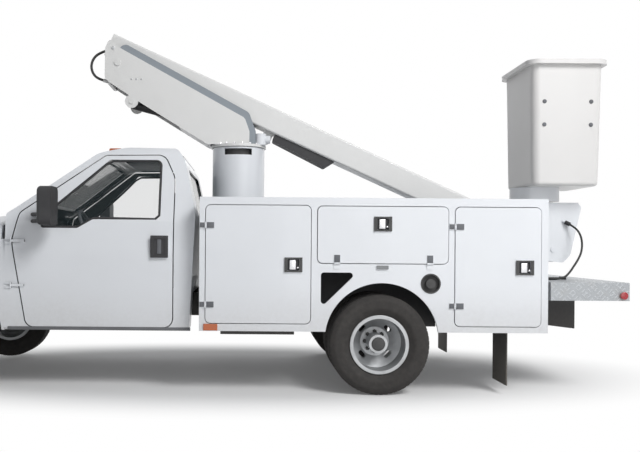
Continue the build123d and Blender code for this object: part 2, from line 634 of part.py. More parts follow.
# Hood hinges, just above the skin in the seam at the cowl
HOOD_HINGE_X = FIREWALL_X - COWL + SEAM / 2
HOOD_HINGE_Z = HOOD_REAR_Z + 8
HOOD_HINGE_YS = (-550, 550)
HOOD_LEAF = (24, 24)
HOOD_STRAP = (70, 12)
HOOD_PAD = (40, 40)

front_skin = front_form(0) - front_form(FENDER_WALL)
GRILLE_HALF = 540
GRILLE_Z = (825, 1195)
LAMP_Z = (880, 1195)
LAMP_HALF = 860
with BuildPart() as front_fenders:
    add(front_skin)
    bay_z = GRILLE_Z[0] - 10
    bay_split = FRONT_AXLE_X - 200
    with Locations(((bay_split + FIREWALL_X) / 2, 0, bay_z - 250)):
        Box(FIREWALL_X - bay_split, 2 * (FENDER_HALF - FENDER_WALL), 500, mode=Mode.SUBTRACT)
    with Locations(((NOSE_X + FENDER_WALL + bay_split) / 2, 0, bay_z - 250)):
        Box(bay_split - NOSE_X - FENDER_WALL, 2 * (NOSE_HALF - 120), 500, mode=Mode.SUBTRACT)
    with Locations((FIREWALL_X, 0, ROCKER_Z)):
        Box(2 * (FENDER_WALL + 1), 2 * (FENDER_HALF - FENDER_WALL), 2 * (HOOD_REAR_Z - ROCKER_Z - 90), mode=Mode.SUBTRACT)
    add(hood_space(SEAM), mode=Mode.SUBTRACT)
    with Locations((FRONT_AXLE_X, 0, AXLE_Z + ARCH_RISE)):
        Cylinder(ARCH_R, 2 * front_far, rotation=(90, 0, 0), mode=Mode.SUBTRACT)
    with BuildSketch(Plane.YZ.offset(NOSE_X)) as nose_opening:
        with Locations((0, sum(GRILLE_Z) / 2)):
            Rectangle(2 * GRILLE_HALF + 2 * SEAT_GAP, GRILLE_Z[1] - GRILLE_Z[0])
        with Locations((0, sum(LAMP_Z) / 2)):
            Rectangle(2 * LAMP_HALF, LAMP_Z[1] - LAMP_Z[0])
    extrude(amount=200, both=True, mode=Mode.SUBTRACT)
    for y in HOOD_HINGE_YS:
        for end_y in (y - knuckle_step, y + knuckle_step):
            with Locations((HOOD_HINGE_X, end_y, HOOD_HINGE_Z)):
                Cylinder(HINGE_R, END_KNUCKLE, rotation=(90, 0, 0))
            with Locations((HOOD_HINGE_X + HOOD_LEAF[0] / 2, end_y, HOOD_HINGE_Z - HOOD_LEAF[1] / 2)):
                Box(HOOD_LEAF[0], END_KNUCKLE, HOOD_LEAF[1])
        with Locations((HOOD_HINGE_X, y, HOOD_HINGE_Z)):
            Cylinder(HINGE_PIN_R, 2 * knuckle_step, rotation=(90, 0, 0))
write(front_fenders, "front_fenders")

with BuildPart() as hood:
    add(front_skin)
    add(hood_space(0), mode=Mode.INTERSECT)
    for y in HOOD_HINGE_YS:
        with Locations((HOOD_HINGE_X, y, HOOD_HINGE_Z)):
            Cylinder(HINGE_R, KNUCKLE, rotation=(90, 0, 0))
        with Locations((HOOD_HINGE_X - HOOD_STRAP[0] / 2, y, HOOD_HINGE_Z)):
            Box(HOOD_STRAP[0], KNUCKLE, HOOD_STRAP[1])
        pad_z = HOOD_HINGE_Z + HOOD_STRAP[1] / 2 - HOOD_PAD[1] / 2
        with Locations((HOOD_HINGE_X - HOOD_STRAP[0] + HOOD_PAD[0] / 2, y, pad_z)):
            Box(HOOD_PAD[0], KNUCKLE, HOOD_PAD[1])
        with Locations((HOOD_HINGE_X, y, HOOD_HINGE_Z)):
            Cylinder(HINGE_PIN_R + PIN_GAP, KNUCKLE, rotation=(90, 0, 0), mode=Mode.SUBTRACT)
write(hood, "hood")

# Grille with its bars, and a headlamp at each side, set into the nose
BAR_COUNT = 3
BAR_DEPTH = 46
GRILLE_FRAME = 40
grille_height = GRILLE_Z[1] - GRILLE_Z[0]
with BuildPart() as grille:
    with BuildSketch(Plane.YZ.offset(NOSE_X)):
        with Locations((0, sum(GRILLE_Z) / 2)):
            Rectangle(2 * GRILLE_HALF, grille_height - 2 * SEAT_GAP)
            RectangleRounded(2 * GRILLE_HALF - 2 * GRILLE_FRAME, grille_height - 2 * GRILLE_FRAME, 30, mode=Mode.SUBTRACT)
            with GridLocations(0, (grille_height - 2 * GRILLE_FRAME) / (BAR_COUNT + 1), 1, BAR_COUNT):
                Rectangle(2 * GRILLE_HALF - GRILLE_FRAME, BAR_DEPTH)
    extrude(amount=60)
    with BuildSketch(Plane.YZ.offset(NOSE_X + 60)):
        with Locations((0, sum(GRILLE_Z) / 2)):
            Rectangle(2 * GRILLE_HALF, grille_height - 2 * SEAT_GAP)
    extrude(amount=12)
write(grille, "grille")

with BuildPart() as headlamps:
    add(front_form(0))
    with BuildSketch(Plane.YZ.offset(NOSE_X)):
        for side in (-1, 1):
            with Locations((side * (GRILLE_HALF + LAMP_HALF) / 2, sum(LAMP_Z) / 2)):
                Rectangle(LAMP_HALF - GRILLE_HALF - 2 * SEAT_GAP, LAMP_Z[1] - LAMP_Z[0] - 2 * SEAT_GAP)
    extrude(amount=190, mode=Mode.INTERSECT)
write(headlamps, "headlamps")

# Front bumper: a plate bent round the corners, on the ends of the rails
BUMPER_Z = (500, 730)
BUMPER_HALF = 1010
BUMPER_WRAP = 260
with BuildPart() as front_bumper:
    with BuildSketch(Plane.XY.offset(BUMPER_Z[0])):
        outline((
            (BUMPER_X + BUMPER_WRAP, -BUMPER_HALF, 0), (BUMPER_X, -BUMPER_HALF + 60, 150),
            (BUMPER_X, BUMPER_HALF - 60, 150), (BUMPER_X + BUMPER_WRAP, BUMPER_HALF, 0),
            (BUMPER_X + BUMPER_WRAP, BUMPER_HALF - BUMPER_WALL, 0),
            (BUMPER_X + BUMPER_WALL, BUMPER_HALF - 60 - BUMPER_WALL, 150 - BUMPER_WALL),
            (BUMPER_X + BUMPER_WALL, -BUMPER_HALF + 60 + BUMPER_WALL, 150 - BUMPER_WALL),
            (BUMPER_X + BUMPER_WRAP, -BUMPER_HALF + BUMPER_WALL, 0),
        ))
    extrude(amount=BUMPER_Z[1] - BUMPER_Z[0])
write(front_bumper, "front_bumper")

# Service body: two side boxes with three compartments each, joined by the cargo floor
BODY_HALF_WIDTH = 1195
BOX_DEPTH = 505
BODY_Z = (506, 1576)
BOX_WALL = 25
WHEEL_BAY = (REAR_AXLE_X - 522, REAR_AXLE_X + 565)
SHELF_Z = 1030
BODY_ARCH_R = 455
BODY_ARCH_AT = (REAR_AXLE_X + 12, 442)
CARGO_Z = 911
CARGO_WALL = 40
DOOR_PROUD = 6
DOOR_CORNER = 40
HINGE_OUT = 9
HINGE_STRAP = (70, 6, 50)
LATCH = 118
LATCH_PROUD = 8
FILLER_AT = (REAR_AXLE_X + 399, 895)
FILLER_R = 80
body_length = BODY_AHEAD + BODY_BEHIND
body_mid_x = (BODY_FRONT_X + BODY_REAR_X) / 2
box_inner_y = BODY_HALF_WIDTH - BOX_DEPTH
box_mid_y = -(BODY_HALF_WIDTH + box_inner_y) / 2
hinge_y = -(BODY_HALF_WIDTH + HINGE_OUT)
compartments = (
    # front x, rear x, bottom z
    (BODY_FRONT_X + BOX_WALL, WHEEL_BAY[0] - BOX_WALL, BODY_Z[0] + BOX_WALL),
    (WHEEL_BAY[0], WHEEL_BAY[1], SHELF_Z),
    (WHEEL_BAY[1] + BOX_WALL, BODY_REAR_X - BOX_WALL, BODY_Z[0] + BOX_WALL),
)
body_doors = (
    # name, front x, rear x, bottom z, top z, hinge edge, latch x, latch z
    ("front", REAR_AXLE_X - 1396, REAR_AXLE_X - 559, 570, 1510, "front", REAR_AXLE_X - 697, 1038),
    ("middle", REAR_AXLE_X - 504, REAR_AXLE_X + 536, 1054, 1506, "bottom", REAR_AXLE_X + 14, 1368),
    ("rear", REAR_AXLE_X + 593, REAR_AXLE_X + 1276, 558, 1505, "front", REAR_AXLE_X + 1145, 1027),
)
side_hinges = (1350, 718)
bottom_hinges = (REAR_AXLE_X - 349, REAR_AXLE_X + 391)
side_plane = Plane.XZ.offset(BODY_HALF_WIDTH)


def strap_places(door):
    """Centres of a door's hinges on the side face, as rows of x and z at the hinge line."""
    _, front_x, _, bottom_z, _, edge, _, _ = door
    if edge == "front":
        return [(front_x - SEAM / 2, z) for z in side_hinges]
    return [(x, bottom_z - SEAM / 2) for x in bottom_hinges]


with BuildPart() as left_side:
    with Locations((body_mid_x, box_mid_y, sum(BODY_Z) / 2)):
        Box(body_length, BOX_DEPTH, BODY_Z[1] - BODY_Z[0])
    for front_x, rear_x, bottom_z in compartments:
        with Locations(((front_x + rear_x) / 2, box_mid_y, (bottom_z + BODY_Z[1] - BOX_WALL) / 2)):
            Box(rear_x - front_x, BOX_DEPTH - 2 * BOX_WALL, BODY_Z[1] - BOX_WALL - bottom_z, mode=Mode.SUBTRACT)
    bay_top = SHELF_Z - BOX_WALL
    with Locations((sum(WHEEL_BAY) / 2, box_mid_y + BOX_WALL, bay_top - 500)):
        Box(WHEEL_BAY[1] - WHEEL_BAY[0], BOX_DEPTH, 1000, mode=Mode.SUBTRACT)
    with BuildSketch(side_plane):
        with Locations(BODY_ARCH_AT):
            Circle(BODY_ARCH_R)
        outline((
            (REAR_AXLE_X - 477, 979, 25), (REAR_AXLE_X - 477, 693, 25), (REAR_AXLE_X - 186, 979, 25),
        ))
        for _, front_x, rear_x, bottom_z, top_z, _, _, _ in body_doors:
            with Locations(((front_x + rear_x) / 2, (bottom_z + top_z) / 2)):
                RectangleRounded(rear_x - front_x + 2 * SEAM, top_z - bottom_z + 2 * SEAM, DOOR_CORNER + SEAM)
    extrude(amount=-BOX_WALL, mode=Mode.SUBTRACT)
    with BuildSketch(side_plane):
        for door in body_doors:
            for x, z in strap_places(door):
                if door[5] == "front":
                    with Locations((x - HINGE_R - 1 - HINGE_STRAP[0] / 4, z)):
                        Rectangle(HINGE_STRAP[0] / 2, HINGE_STRAP[2])
                else:
                    with Locations((x, z - HINGE_R - 1 - HINGE_STRAP[0] / 4)):
                        Rectangle(HINGE_STRAP[2], HINGE_STRAP[0] / 2)
    extrude(amount=HINGE_STRAP[1])
    leaf_y = -(BODY_HALF_WIDTH + HINGE_STRAP[1] / 2 - 1)
    for door in body_doors:
        upright = door[5] == "front"
        turn = (0, 0, 0) if upright else (0, 90, 0)
        for x, z in strap_places(door):
            for along in (-knuckle_step, knuckle_step):
                end_x, end_z = (x, z + along) if upright else (x + along, z)
                with Locations((end_x, hinge_y, end_z)):
                    Cylinder(HINGE_R, END_KNUCKLE, rotation=turn)
                if upright:
                    with Locations((end_x - HINGE_STRAP[0] / 4, leaf_y, end_z)):
                        Box(HINGE_STRAP[0] / 2, HINGE_STRAP[1] + 2, END_KNUCKLE)
                else:
                    with Locations((end_x, leaf_y, end_z - HINGE_STRAP[0] / 4)):
                        Box(END_KNUCKLE, HINGE_STRAP[1] + 2, HINGE_STRAP[0] / 2)
            with Locations((x, hinge_y, z)):
                Cylinder(HINGE_PIN_R, 2 * knuckle_step, rotation=turn)
with BuildPart() as right_side:
    mirror(left_side.part, about=Plane.XZ)
write(right_side, "body_side_right")
with left_side:
    with BuildSketch(side_plane):
        with Locations(FILLER_AT):
            Circle(FILLER_R + SEAT_GAP)
    extrude(amount=-BOX_WALL, mode=Mode.SUBTRACT)
write(left_side, "body_side_left")

for door in body_doors:
    name, front_x, rear_x, bottom_z, top_z, edge, latch_x, latch_z = door
    with BuildPart() as left_panel:
        with BuildSketch(side_plane.offset(DOOR_PROUD)):
            with Locations(((front_x + rear_x) / 2, (bottom_z + top_z) / 2)):
                RectangleRounded(rear_x - front_x, top_z - bottom_z, DOOR_CORNER)
        extrude(amount=-BOX_WALL - DOOR_PROUD)
        with BuildSketch(side_plane.offset(DOOR_PROUD)):
            with Locations((latch_x, latch_z)):
                RectangleRounded(LATCH, LATCH, 10)
        extrude(amount=LATCH_PROUD)
        with BuildSketch(side_plane.offset(DOOR_PROUD + LATCH_PROUD)):
            with Locations((latch_x, latch_z)):
                RectangleRounded(LATCH - 24, LATCH - 24, 6)
        extrude(amount=-20, mode=Mode.SUBTRACT)
        upright = edge == "front"
        turn = (0, 0, 0) if upright else (0, 90, 0)
        strap_y = -(BODY_HALF_WIDTH + DOOR_PROUD + HINGE_STRAP[1] / 2 - 1)
        strap_out = HINGE_R + 2
        strap_length = HINGE_STRAP[0] - strap_out
        for x, z in strap_places(door):
            for along in (-knuckle_step, knuckle_step):
                with Locations((x, hinge_y, z + along) if upright else (x + along, hinge_y, z)):
                    Cylinder(strap_out, END_KNUCKLE + 2, rotation=turn, mode=Mode.SUBTRACT)
            with Locations((x, hinge_y, z)):
                Cylinder(HINGE_R, KNUCKLE, rotation=turn)
            if upright:
                with Locations((x + strap_out / 2, strap_y, z)):
                    Box(strap_out, HINGE_STRAP[1], KNUCKLE)
                with Locations((x + strap_out + strap_length / 2, strap_y, z)):
                    Box(strap_length, HINGE_STRAP[1], HINGE_STRAP[2])
            else:
                with Locations((x, strap_y, z + strap_out / 2)):
                    Box(KNUCKLE, HINGE_STRAP[1], strap_out)
                with Locations((x, strap_y, z + strap_out + strap_length / 2)):
                    Box(HINGE_STRAP[2], HINGE_STRAP[1], strap_length)
            with Locations((x, hinge_y, z)):
                Cylinder(HINGE_PIN_R + PIN_GAP, KNUCKLE, rotation=turn, mode=Mode.SUBTRACT)
    write(left_panel, f"box_door_{name}_left")
    with BuildPart() as right_panel:
        mirror(left_panel.part, about=Plane.XZ)
    write(right_panel, f"box_door_{name}_right")

# Cargo floor with its front bulkhead, on two sills along the rails
with BuildPart() as cargo_floor:
    with Locations((body_mid_x, 0, CARGO_Z - CARGO_WALL / 2)):
        Box(body_length, 2 * box_inner_y, CARGO_WALL)
    with Locations((BODY_FRONT_X + BOX_WALL / 2, 0, (CARGO_Z + BODY_Z[1]) / 2)):
        Box(BOX_WALL, 2 * box_inner_y, BODY_Z[1] - CARGO_Z)
    sill_z = (RAIL_Z[1] + CARGO_Z - CARGO_WALL) / 2
    with Locations((body_mid_x, -RAIL_Y, sill_z), (body_mid_x, RAIL_Y, sill_z)):
        Box(body_length, RAIL_WIDTH, CARGO_Z - CARGO_WALL - RAIL_Z[1])
write(cargo_floor, "cargo_floor")

# Fuel filler: a dished cup with its cap, in the wheel panel of the left side
with BuildPart() as fuel_filler:
    with BuildSketch(side_plane.offset(4)):
        with Locations(FILLER_AT):
            Circle(FILLER_R)
    extrude(amount=-50)
    with BuildSketch(side_plane.offset(4)):
        with Locations(FILLER_AT):
            Circle(FILLER_R - 10)
            Circle(38, mode=Mode.SUBTRACT)
    extrude(amount=-34, mode=Mode.SUBTRACT)
write(fuel_filler, "fuel_filler")

# Tail deck: a tread plate tray on two beams along the rails
DECK_HALF = 1150
DECK_DEPTH = 146
DECK_WALL = 6
deck_mid_x = DECK_X + DECK_LENGTH / 2
with BuildPart() as tail_deck:
    with Locations((deck_mid_x, 0, CARGO_Z - DECK_DEPTH / 2)):
        Box(DECK_LENGTH, 2 * DECK_HALF, DECK_DEPTH)
    with Locations((deck_mid_x, 0, CARGO_Z - DECK_WALL - DECK_DEPTH / 2)):
        Box(DECK_LENGTH - 2 * DECK_WALL, 2 * (DECK_HALF - DECK_WALL), DECK_DEPTH, mode=Mode.SUBTRACT)
    beam_height = CARGO_Z - DECK_WALL - RAIL_Z[1]
    for side in (-1, 1):
        with Locations((deck_mid_x, side * RAIL_Y, RAIL_Z[1] + beam_height / 2)):
            Box(DECK_LENGTH - 2 * DECK_WALL, RAIL_WIDTH, beam_height)
write(tail_deck, "tail_deck")

# Hitch support: gussets under the rails and a rear plate drilled for a pintle hook
PINTLE = (85.7, 44.5, 7)
HITCH_PLATE = 16
HITCH_DROP = 468
gusset_y = RAIL_Y + RAIL_WIDTH / 2
with BuildPart() as hitch_support:
    for side in (-1, 1):
        with BuildSketch(Plane.XZ.offset(-side * gusset_y)):
            outline((
                (DECK_X, RAIL_Z[1], 0), (DECK_X + HITCH_LENGTH, RAIL_Z[1], 0),
                (DECK_X + HITCH_LENGTH, HITCH_DROP, 20), (DECK_X, HITCH_DROP + 57, 60),
            ))
        extrude(amount=-side * 12)
    hitch_z = (HITCH_DROP + RAIL_Z[1]) / 2
    with BuildSketch(Plane.YZ.offset(DECK_X + HITCH_LENGTH)):
        with Locations((0, hitch_z)):
            Rectangle(2 * gusset_y + 24, RAIL_Z[1] - HITCH_DROP)
        with Locations((0, hitch_z)):
            with GridLocations(PINTLE[1], PINTLE[0], 2, 2):
                Circle(PINTLE[2], mode=Mode.SUBTRACT)
    extrude(amount=HITCH_PLATE)
write(hitch_support, "hitch_support")

# Mud flaps behind the twin wheels, hung from the side boxes
FLAP = (10, 340, BODY_Z[0] - 70)
FLAP_AT = (REAR_AXLE_X + 1041, 930)
with BuildPart() as mud_flaps:
    with Locations(*[(FLAP_AT[0], side * FLAP_AT[1], BODY_Z[0] - FLAP[2] / 2) for side in (-1, 1)]):
        Box(*FLAP)
write(mud_flaps, "mud_flaps")

# Marker lamps: the roof lamps, amber reflectors, shelf lights and round rear side lamps
with BuildPart() as marker_lamps:
    add(roof_lamps.part)
    for side in (-1, 1):
        with Locations((REAR_AXLE_X - 1355, side * (BODY_HALF_WIDTH + 5), 537)):
            Box(112, 10, 52)
        with Locations((REAR_AXLE_X + 14, side * (BODY_HALF_WIDTH + 6), 1022)):
            Box(92, 12, 30)
        with Locations((DECK_X + DECK_LENGTH - 50, side * (DECK_HALF + 6), 808)):
            Cylinder(29, 12, rotation=(90, 0, 0))
write(marker_lamps, "marker_lamps")

# Pedestal: a round column on the cargo floor, with a window near its top that shows the slewing ring
PEDESTAL_R = 247
PEDESTAL_WALL = 14
PEDESTAL_Z = 2101
BASE_PLATE = (620, 20)
CAP = 16
RING_R = 200
RING_WALL = 60
RING_DEPTH = 90
WINDOW = (250, 58)
with BuildPart() as pedestal:
    with BuildSketch(Plane.XY.offset(CARGO_Z)):
        with Locations((PEDESTAL_X, 0)):
            Circle(PEDESTAL_R)
            Circle(PEDESTAL_R - PEDESTAL_WALL, mode=Mode.SUBTRACT)
    extrude(amount=PEDESTAL_Z - CARGO_Z)
    with BuildSketch(Plane.XY.offset(PEDESTAL_Z - CAP)):
        with Locations((PEDESTAL_X, 0)):
            Circle(PEDESTAL_R)
            Circle(RING_R - RING_WALL, mode=Mode.SUBTRACT)
    extrude(amount=CAP)
    with BuildSketch(Plane.XY.offset(CARGO_Z)):
        with Locations((PEDESTAL_X, 0)):
            RectangleRounded(2 * PEDESTAL_R + 4, BASE_PLATE[0], 30)
            Circle(PEDESTAL_R - PEDESTAL_WALL, mode=Mode.SUBTRACT)
    extrude(amount=BASE_PLATE[1])
    for side in (-1, 1):
        with BuildSketch(Plane.XZ):
            with Locations((PEDESTAL_X, PEDESTAL_Z - CAP - WINDOW[1] / 2)):
                Rectangle(*WINDOW)
        extrude(amount=-side * 2 * PEDESTAL_R, mode=Mode.SUBTRACT)
write(pedestal, "pedestal")

with BuildPart() as slew_ring:
    with BuildSketch(Plane.XY.offset(PEDESTAL_Z - CAP)):
        with Locations((PEDESTAL_X, 0)):
            Circle(RING_R)
            Circle(RING_R - RING_WALL, mode=Mode.SUBTRACT)
    extrude(amount=-RING_DEPTH)
write(slew_ring, "slew_ring")

# Hose loop between the boom's tail and the turret, as offsets from the boom's pivot
HOSE_R = 12
FITTING_R = 17
BOOM_FITTING = 45
TURRET_FITTING = 75
HOSE_BAR = 30
HOSE_BAR_AT = (-75, -185)
hose_rows = (
    # behind the pivot, across, up from the pivot
    (-140, -35, 140), (-208, -45, 112), (-254, -57, 55), (-269, -70, -15), (-249, -83, -84), (-200, -95, -136),
    (-140, -105, -154),
)
hose_path = [Vector(PIVOT_X + x, y, PIVOT_Z + z) for x, y, z in hose_rows]


def cord_radii(path):
    """The largest arc at each inner point that leaves a little of both runs straight."""
    radii = []
    for before, here, after in zip(path, path[1:], path[2:]):
        run_in, run_out = here - before, after - here
        turn = radians(run_in.get_angle(run_out))
        radii.append(0.45 * min(run_in.length, run_out.length) / tan(turn / 2))
    return radii


def fitting_plane(end, neighbour):
    """A plane at a cord's end that looks along its first run."""
    return Plane(origin=end, z_dir=neighbour - end)


def cord_tube(path, radius):
    """A round tube along straight runs joined by tangent arcs."""
    radii = cord_radii(path)
    print("cord radii", [round(value) for value in radii])
    with BuildPart() as tube:
        with BuildLine() as route:
            FilletPolyline(*path, radius=radii)
        with BuildSketch(fitting_plane(path[0], path[1])) as section:
            Circle(radius)
        sweep(section.sketch, path=route.wires()[0])
    print("cord volume and section times length", tube.part.volume, pi * radius**2 * route.wires()[0].length)
    return tube


# Turret: a goose-neck of two side plates on a base disc, with the boom's pivot pin and the cylinder's lugs
TURRET_GAP = 4
TURRET_R = 262
TURRET_BASE = 24
PLATE_Y = 160
PLATE_WALL = 12
LINER_WALL = 10
LINER_BAND = 60
PIVOT_R = 30
LUG_R = 62
CYLINDER_BASE = (-1000, 2524)
turret_z = PEDESTAL_Z + TURRET_GAP
plate_z = turret_z + TURRET_BASE
plate_rows = (
    # behind the pedestal's axis, height, corner radius
    (-1205, 3119, 30), (-1250, 3023, 60), (-1253, 2737, 40), (-1211, 2702, 40), (-902, 2501, 0),
    (-289, plate_z, 0), (100, plate_z, 0), (102, 2252, 60), (57, 2377, 60), (-1128, 3030, 200),
)
liner_rows = (
    (-1099, 3082, 60), (96, 2429, 60), (162, 2252, 60), (160, plate_z, 0), (-200, plate_z, 0),
    (-900, 2560, 0), (-1150, 2890, 60),
)
cylinder_x = PEDESTAL_X + CYLINDER_BASE[0]
cylinder_z = CYLINDER_BASE[1]
with BuildPart() as turret:
    with BuildSketch(Plane.XY.offset(turret_z)):
        with Locations((PEDESTAL_X, 0)):
            Circle(TURRET_R)
    extrude(amount=TURRET_BASE)
    with BuildSketch(Plane.XY.offset(turret_z)):
        with Locations((PEDESTAL_X, 0)):
            Circle(RING_R - RING_WALL - RUNNING_GAP)
    extrude(amount=-TURRET_GAP - CAP - RING_DEPTH)
    for side in (-1, 1):
        with BuildSketch(Plane.XZ.offset(-side * PLATE_Y)):
            outline([(PEDESTAL_X + x, z, radius) for x, z, radius in plate_rows])
            with Locations((cylinder_x, cylinder_z)):
                Circle(LUG_R)
        extrude(amount=-side * PLATE_WALL)
    with BuildSketch(Plane.XZ):
        outline((
            (PEDESTAL_X - 560, plate_z + 166, 0), (PEDESTAL_X - 289, plate_z, 0),
            (PEDESTAL_X - 265, plate_z, 0), (PEDESTAL_X - 554, plate_z + 177, 0),
        ))
    extrude(amount=PLATE_Y, both=True)
    with Locations((PIVOT_X, 0, PIVOT_Z)):
        Cylinder(PIVOT_R, 2 * (PLATE_Y + PLATE_WALL + 10), rotation=(90, 0, 0))
    with Locations((cylinder_x, 0, cylinder_z)):
        Cylinder(PIVOT_R - 5, 2 * (PLATE_Y + PLATE_WALL + 8), rotation=(90, 0, 0))
    with Locations((PIVOT_X + HOSE_BAR_AT[0], 0, PIVOT_Z + HOSE_BAR_AT[1])):
        Box(HOSE_BAR, 2 * PLATE_Y, HOSE_BAR)
    with BuildSketch(fitting_plane(hose_path[-1], hose_path[-2])):
        Circle(FITTING_R)
    extrude(amount=-TURRET_FITTING)
write(turret, "turret")
write(cord_tube(hose_path, HOSE_R), "boom_hose")

with BuildPart() as turret_liner:
    for side in (-1, 1):
        with BuildSketch(Plane.XZ.offset(-side * (PLATE_Y - LINER_WALL))):
            outline([(PEDESTAL_X + x, z, radius) for x, z, radius in liner_rows])
            with Locations((PIVOT_X, PIVOT_Z), (cylinder_x, cylinder_z)):
                Circle(PIVOT_R + PIN_GAP, mode=Mode.SUBTRACT)
        extrude(amount=-side * LINER_WALL)
write(turret_liner, "turret_liner")

# Slewing drive: a gearbox and motor on the turret's base behind the plates
DRIVE_R = 52
DRIVE_AT = (PEDESTAL_X + 207, -116)
DRIVE_HEIGHT = 104
MOTOR_R = 38
MOTOR_LENGTH = 90
with BuildPart() as slew_drive:
    with BuildSketch(Plane.XY.offset(plate_z)):
        with Locations(DRIVE_AT):
            Circle(DRIVE_R)
    extrude(amount=DRIVE_HEIGHT)
    with BuildSketch(Plane.YZ.offset(DRIVE_AT[0])):
        with Locations((DRIVE_AT[1], plate_z + DRIVE_HEIGHT / 2)):
            Circle(MOTOR_R)
    extrude(amount=MOTOR_LENGTH)
write(slew_drive, "slew_drive")

# Boom: rows below are along the boom from its pivot, and up from its pivot
BOOM_TAIL = -158
OUTER_END = 3700
INNER_START = 900
INNER_END = BOOM_REACH + 55
INNER_WALL = 10
EAR_AT = (1550, -48)
EAR_R = 45
EAR_WALL = 14
EAR_GAP = 40
SHROUD = ((1610, 2230), 80)
boom_top = BOOM_UNDER + BOOM_DEPTH
boom_mid = BOOM_UNDER + BOOM_DEPTH / 2
across_boom = Plane(origin=BOOM.origin, x_dir=(0, 1, 0), z_dir=BOOM.x_dir)
with BuildPart() as outer_boom:
    with BuildSketch(across_boom.offset(BOOM_TAIL)):
        with Locations((0, boom_mid)):
            RectangleRounded(BOOM_WIDTH, BOOM_DEPTH, 20)
            RectangleRounded(BOOM_WIDTH - 2 * BOOM_WALL, BOOM_DEPTH - 2 * BOOM_WALL, 8, mode=Mode.SUBTRACT)
    extrude(amount=OUTER_END - BOOM_TAIL)
    with BuildSketch(across_boom.offset(BOOM_TAIL)):
        with Locations((0, boom_mid)):
            RectangleRounded(BOOM_WIDTH - BOOM_WALL, BOOM_DEPTH - BOOM_WALL, 12)
    extrude(amount=BOOM_WALL)
    with BuildSketch(across_boom.offset(OUTER_END - 110)):
        with Locations((0, boom_mid)):
            Rectangle(BOOM_WIDTH - BOOM_WALL, BOOM_DEPTH - BOOM_WALL)
            Rectangle(INNER_WIDTH + 2 * SEAT_GAP, INNER_DEPTH + 2 * SEAT_GAP, mode=Mode.SUBTRACT)
    extrude(amount=100)
    for side in (-1, 1):
        with BuildSketch(BOOM.offset(-side * (BOOM_WIDTH / 2 - EAR_WALL))):
            with Locations((0, 0)):
                Circle(LUG_R)
            with Locations((0, BOOM_UNDER)):
                Rectangle(2 * LUG_R, 2 * BOOM_WALL)
            Circle(PIVOT_R + PIN_GAP, mode=Mode.SUBTRACT)
        extrude(amount=-side * EAR_WALL)
        with BuildSketch(BOOM.offset(-side * EAR_GAP)):
            with Locations(EAR_AT):
                Circle(EAR_R)
            with Locations((EAR_AT[0], (EAR_AT[1] + BOOM_UNDER + 1) / 2)):
                Rectangle(2 * EAR_R, BOOM_UNDER + 1 - EAR_AT[1])
        extrude(amount=-side * EAR_WALL)
    with BuildSketch(BOOM):
        Circle(PIVOT_R + PIN_GAP)
    extrude(amount=BOOM_WIDTH, both=True, mode=Mode.SUBTRACT)
    with BuildSketch(fitting_plane(hose_path[0], hose_path[1])):
        Circle(FITTING_R)
    extrude(amount=-BOOM_FITTING)
write(outer_boom, "outer_boom")

with BuildPart() as boom_shroud:
    (shroud_start, shroud_end), shroud_drop = SHROUD
    with BuildSketch(BOOM):
        outline((
            (shroud_start, BOOM_UNDER, 0), (shroud_start, BOOM_UNDER - shroud_drop + 15, 20),
            (shroud_end - 60, BOOM_UNDER - shroud_drop - 10, 20), (shroud_end, BOOM_UNDER, 0),
        ))
    extrude(amount=BOOM_WIDTH / 2 - 25, both=True)
write(boom_shroud, "boom_shroud")

LEVEL_PIN_R = 25
with BuildPart() as inner_boom:
    with BuildSketch(across_boom.offset(INNER_START)):
        with Locations((0, boom_mid)):
            RectangleRounded(INNER_WIDTH, INNER_DEPTH, 14)
            RectangleRounded(INNER_WIDTH - 2 * INNER_WALL, INNER_DEPTH - 2 * INNER_WALL, 5, mode=Mode.SUBTRACT)
    extrude(amount=INNER_END - INNER_START)
    with BuildSketch(BOOM):
        with Locations((BOOM_REACH, LEVEL_PIN_RISE)):
            Circle(LEVEL_PIN_R + PIN_GAP)
    extrude(amount=BOOM_WIDTH, both=True, mode=Mode.SUBTRACT)
write(inner_boom, "inner_boom")

# Lift cylinder: a barrel on the turret's lower pin and a rod that reaches to the boom's ears
BARREL_R = 48
BARREL_LENGTH = 1080
ROD_R = 26
EYE_HALF = 32
rod_eye = BOOM.from_local_coords(Vector(*EAR_AT, 0))
lift_vector = rod_eye - Vector(cylinder_x, 0, cylinder_z)
lift_length = lift_vector.length
LIFT = Plane(origin=(cylinder_x, 0, cylinder_z), x_dir=lift_vector, z_dir=(0, -1, 0))
along_lift = Plane(origin=LIFT.origin, x_dir=(0, 1, 0), z_dir=LIFT.x_dir)
with BuildPart() as cylinder_barrel:
    with BuildSketch(along_lift):
        Circle(BARREL_R)
    extrude(amount=BARREL_LENGTH)
    with BuildSketch(LIFT):
        Circle(BARREL_R)
    extrude(amount=EYE_HALF, both=True)
    with BuildSketch(LIFT):
        Circle(PIVOT_R - 5 + PIN_GAP)
    extrude(amount=2 * EYE_HALF, both=True, mode=Mode.SUBTRACT)
    with BuildSketch(along_lift.offset(BARREL_R + 12)):
        Circle(ROD_R + SEAT_GAP)
    extrude(amount=BARREL_LENGTH, mode=Mode.SUBTRACT)
write(cylinder_barrel, "cylinder_barrel")

with BuildPart() as cylinder_rod:
    with BuildSketch(along_lift.offset(BARREL_R + 40)):
        Circle(ROD_R)
    extrude(amount=lift_length - BARREL_R - 40)
    with BuildSketch(LIFT):
        with Locations((lift_length, 0)):
            Circle(EAR_R - 5)
    extrude(amount=EYE_HALF, both=True)
write(cylinder_rod, "cylinder_rod")

